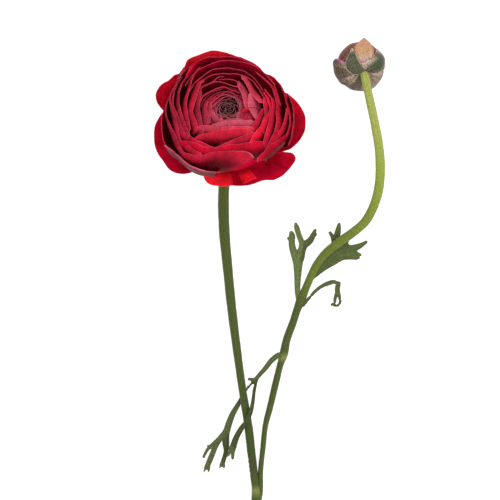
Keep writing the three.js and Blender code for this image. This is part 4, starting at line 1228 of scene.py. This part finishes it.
class BUTTERCUP_OT_bud(Operator):
    """Build the closed bud: its ball of petals and the sepals that wrap it"""

    bl_idname = "buttercup.bud"
    bl_label = "Bud"

    def execute(self, context):
        matrix = flower_matrix(BUD_SEAT, BUD_TURN)
        petals = Tissue()
        turned_body(petals, BUD_PROFILE, LARGE_BODY_SIDES, matrix, colour("mauve"))
        for order, (azimuth, half, profile, names) in enumerate(BUD_PETALS):
            place = leafy_place(
                matrix, azimuth, half, profile, BUD_TIP_WIDTH, order, rounding=0.15, root=0.3, spiral=0.05,
            )
            petals.blade(BUD_PETAL_GRID, sizes().bud_thickness, place, three_part_tint(names, "blush"))
        petals.blade(
            BUD_FRONT_GRID, sizes().bud_thickness, bud_place(PEACH_PETAL),
            bud_tint(PEACH_PETAL[2], "bud_edge", 0.86),
        )
        petals.finish("bud_ball", "bud_petals", "bud_petal", tissue_finish("Bud petal"))
        sepals = Tissue()
        turned_body(sepals, BUD_NECK_PROFILE, SMALL_BODY_SIDES, matrix, colour("moss"))
        for order, (azimuth, half, profile, pink_side, names) in enumerate(BUD_SEPALS):
            place = leafy_place(matrix, azimuth, half, profile, BUD_TIP_WIDTH, order, rounding=0.28)
            sepals.blade(BUD_SEPAL_GRID, sizes().bud_thickness, place, lobe_tint(names, pink_side))
        for part, patch in ((LEFT_SEPAL, 0), (RIGHT_SEPAL, 0.8)):
            sepals.blade(
                BUD_FRONT_GRID, sizes().bud_thickness, bud_place(part),
                bud_tint(part[2], "sepal_margin", 0.8, patch),
            )
        sepals.finish("bud_sepals_dressed", "bud_sepals", "bud_sepal", tissue_finish("Downy sepal"))
        return {"FINISHED"}


# Stems


def stem_tissue(route, tints, sides, scar):
    """A ribbed stem along its route, painted from its cut end to its flower."""
    samples = route_samples(route, STEM_STEP)
    rows = len(samples) - 1
    tissue = Tissue()

    def place(across, along):
        row = min(round(along * rows), rows)
        here = samples[row]
        ahead = (samples[min(row + 1, rows)] - samples[max(row - 1, 0)]).xyz.normalized()
        side = ahead.cross(Vector((0, 0, 1))).normalized()
        up = side.cross(ahead)
        angle = across * math.pi
        radius = here.w * (1 + RIB_DEPTH * math.sin(RIBS * angle + 0.3 * math.sin(row * 0.05)))
        radius *= 1 + 0.012 * math.sin(row * 0.31) + 0.008 * math.sin(row * 0.83 + 2 * angle)
        if scar:
            low, high, depth = scar
            bite = smooth_step(low, low + 2, here.y) * smooth_step(high, high - 2, here.y)
            facing = smooth_step(0.3, 1, -side.x * math.cos(angle))
            radius -= depth * bite * facing * (0.6 + 0.4 * math.sin(here.y * 3.1))
        return (here.xyz + side * radius * math.cos(angle) + up * radius * math.sin(angle)) * MM

    points, _spots, _faces = tissue.grid(sides, rows, place)
    for v in points:
        v[tissue.tint] = (*along_tints(tints, v.co.y / MM), 1)
    mesh = tissue.mesh
    bmesh.ops.remove_doubles(mesh, verts=mesh.verts, dist=0.005 * MM)
    bmesh.ops.holes_fill(mesh, edges=[e for e in mesh.edges if e.is_boundary], sides=0)
    bmesh.ops.recalc_face_normals(mesh, faces=mesh.faces)
    return tissue


class BUTTERCUP_OT_stems(Operator):
    """Build the main stem and the side stem that carries the bud"""

    bl_idname = "buttercup.stems"
    bl_label = "Stems"

    def execute(self, context):
        for name, node, slot, route, tints, sides, scar in STEMS:
            tissue = stem_tissue(route, tints, sides, scar)
            tissue.finish(name, node, slot, tissue_finish("Ribbed green stem"))
        return {"FINISHED"}


# Leaves


def leaf_tissue(lobes, tint_name, dark_lobes):
    """A cut leaf: a fine flat grid is trimmed to the union of the lobes, then raised to their heights."""
    lines = [route_samples(lobe, LOBE_STEP) for lobe in lobes]
    spine = [(s, number) for number, line in enumerate(lines) for s in line]
    tree = KDTree(len(spine))
    for i, (s, _number) in enumerate(spine):
        tree.insert((s.x, s.y, 0), i)
    tree.balance()

    def outside(x, y):
        """Distance from the edge of the leaf, above zero outside it, with rounded forks."""
        nearest = {}
        for _co, i, distance in tree.find_range((x, y, 0), LOBE_REACH):
            s, number = spine[i]
            nearest[number] = min(nearest.get(number, FAR_AWAY), distance - s.w / 2)
        if not nearest:
            return FAR_AWAY
        best = min(nearest.values())
        shares = sum(math.exp((best - d) / FORK_ROUNDING) for d in nearest.values())
        return best - FORK_ROUNDING * math.log(shares)

    xs = [s.x for s, _number in spine]
    ys = [s.y for s, _number in spine]
    low = Vector((min(xs) - GRID_MARGIN, min(ys) - GRID_MARGIN))
    size = Vector((max(xs) + GRID_MARGIN, max(ys) + GRID_MARGIN)) - low
    cell = sizes().leaf_cell
    columns, rows = round(size.x * MM / cell), round(size.y * MM / cell)
    tissue = Tissue()
    mesh = tissue.mesh
    points, _spots, _faces = tissue.grid(
        columns, rows,
        lambda across, along: Vector((low.x + (across + 1) / 2 * size.x, low.y + along * size.y, 0)),
    )
    spare = [v for v in points if outside(v.co.x, v.co.y) > EDGE_SLACK]
    bmesh.ops.delete(mesh, geom=spare, context="VERTS")
    pinched = True
    while pinched:
        pinched = [
            v for v in mesh.verts if not v.link_faces or sum(e.is_boundary for e in v.link_edges) > 2
        ]
        bmesh.ops.delete(mesh, geom=pinched, context="VERTS")
    for _pass in range(2):
        for v in [v for v in mesh.verts if v.is_boundary]:
            x, y, _z = v.co
            slope = Vector((
                outside(x + SLOPE_STEP, y) - outside(x - SLOPE_STEP, y),
                outside(x, y + SLOPE_STEP) - outside(x, y - SLOPE_STEP), 0,
            )) / (2 * SLOPE_STEP)
            if slope.length > 0.3:
                v.co -= slope.normalized() * min(max(outside(x, y), -EDGE_PULL), EDGE_PULL)
        inner = [v for v in mesh.verts if not v.is_boundary]
        bmesh.ops.smooth_vert(
            mesh, verts=inner, factor=0.5, use_axis_x=True, use_axis_y=True, use_axis_z=False,
        )
    blade = colour(tint_name)
    for v in mesh.verts:
        weights = heights = 0
        for _co, i, distance in tree.find_n((v.co.x, v.co.y, 0), 24):
            weight = 1 / (distance ** 3 + 0.02)
            weights += weight
            heights += weight * spine[i][0].z
        _co, i, distance = tree.find((v.co.x, v.co.y, 0))
        share = min(distance / max(spine[i][0].w / 2, 0.2), 1)
        vein = math.exp(-(distance / VEIN_WIDTH) ** 2)
        shade = DARK_LOBE if spine[i][1] in dark_lobes else 1
        v.co.z = max(heights / weights, 0.2) + BLADE_LIFT + SIDE_RISE * share ** 2 - VEIN_DEPTH * vein
        v[tissue.tint] = (*mix(blade, blade * 1.5, vein * 0.6) * shade, 1)
        v.co = v.co * MM
    mesh.normal_update()
    bmesh.ops.solidify(mesh, geom=list(mesh.faces), thickness=sizes().leaf_thickness)
    return tissue


class BUTTERCUP_OT_leaves(Operator):
    """Build the four cut leaves of the side stem"""

    bl_idname = "buttercup.leaves"
    bl_label = "Leaves"

    def execute(self, context):
        for node, lobes, tint_name, dark_lobes in LEAVES:
            tissue = leaf_tissue(lobes, tint_name, dark_lobes)
            tissue.finish("cut_" + node, node, "leaf", tissue_finish("Grey-green leaf"))
        return {"FINISHED"}


# Stage


def soft_light(name, place, size, watts, tone):
    lamp = bpy.data.lights.new(name, "AREA")
    lamp.shape = "DISK"
    lamp.size = size
    lamp.energy = watts
    lamp.color = tone
    holder = bpy.data.objects.new(name, lamp)
    holder.location = place
    holder.rotation_euler = (Vector(LAMP_TARGET) - Vector(place)).to_track_quat("-Z", "Y").to_euler()
    bpy.context.scene.collection.objects.link(holder)


class BUTTERCUP_OT_stage(Operator):
    """Build the pale floor, the soft lights and the camera over the flower"""

    bl_idname = "buttercup.stage"
    bl_label = "Stage"

    def execute(self, context):
        scene = context.scene
        ground = bmesh.new()
        bmesh.ops.create_grid(ground, x_segments=1, y_segments=1, size=FLOOR_SIZE)
        bmesh.ops.translate(ground, verts=ground.verts, vec=(0, 0, FLOOR_HEIGHT))
        data = bpy.data.meshes.new("floor")
        ground.to_mesh(data)
        ground.free()
        plain = bpy.data.materials.new("Plain pale floor")
        plain.use_nodes = True
        set_inputs(plain.node_tree.nodes["Principled BSDF"], {
            "Base Color": (*colour("floor"), 1), "Roughness": 0.9, "Specular IOR Level": 0.1,
            "Emission Color": (1, 1, 1, 1), "Emission Strength": 0.8,
        })
        data.materials.append(plain)
        floor = bpy.data.objects.new("floor", data)
        scene.collection.objects.link(floor)

        world = bpy.data.worlds.new("Soft studio")
        world.use_nodes = True
        set_inputs(world.node_tree.nodes["Background"], {"Color": (1, 1, 1, 1), "Strength": 1})
        scene.world = world
        for lamp in LAMPS:
            soft_light(*lamp)
        scene.view_settings.view_transform = "Standard"

        lens = bpy.data.cameras.new("Camera")
        lens.sensor_width = 36
        lens.lens = lens.sensor_width * (sizes().camera_height - FLOWER_HEIGHT) / sizes().view_width
        camera = bpy.data.objects.new("Camera", lens)
        camera.location = (*VIEW_MIDDLE, sizes().camera_height)
        scene.collection.objects.link(camera)
        scene.camera = camera
        return {"FINISHED"}


class BUTTERCUP_PT_panel(Panel):
    """The pieces of the flower, in the order that they are built"""

    bl_label = "Persian buttercup"
    bl_idname = "BUTTERCUP_PT_panel"
    bl_space_type = "VIEW_3D"
    bl_region_type = "UI"
    bl_category = "Buttercup"

    def draw(self, context):
        for piece in PIECES:
            self.layout.operator(piece.bl_idname)
        for settings in (context.scene.buttercup_sizes, context.scene.buttercup_colours):
            for name in settings.__annotations__:
                self.layout.prop(settings, name)


PIECES = (
    BUTTERCUP_OT_guard_petals,
    BUTTERCUP_OT_cup_petals,
    BUTTERCUP_OT_heart,
    BUTTERCUP_OT_calyx,
    BUTTERCUP_OT_bud,
    BUTTERCUP_OT_stems,
    BUTTERCUP_OT_leaves,
    BUTTERCUP_OT_stage,
)
CLASSES = (ButtercupColours, ButtercupSizes) + PIECES + (BUTTERCUP_PT_panel,)


def register():
    for cls in CLASSES:
        bpy.utils.register_class(cls)
    bpy.types.Scene.buttercup_colours = PointerProperty(type=ButtercupColours)
    bpy.types.Scene.buttercup_sizes = PointerProperty(type=ButtercupSizes)


def unregister():
    del bpy.types.Scene.buttercup_sizes
    del bpy.types.Scene.buttercup_colours
    for cls in reversed(CLASSES):
        bpy.utils.unregister_class(cls)


def main():
    register()
    for piece in PIECES:
        group, name = piece.bl_idname.split(".")
        getattr(getattr(bpy.ops, group), name)()


if __name__ == "__main__":
    main()
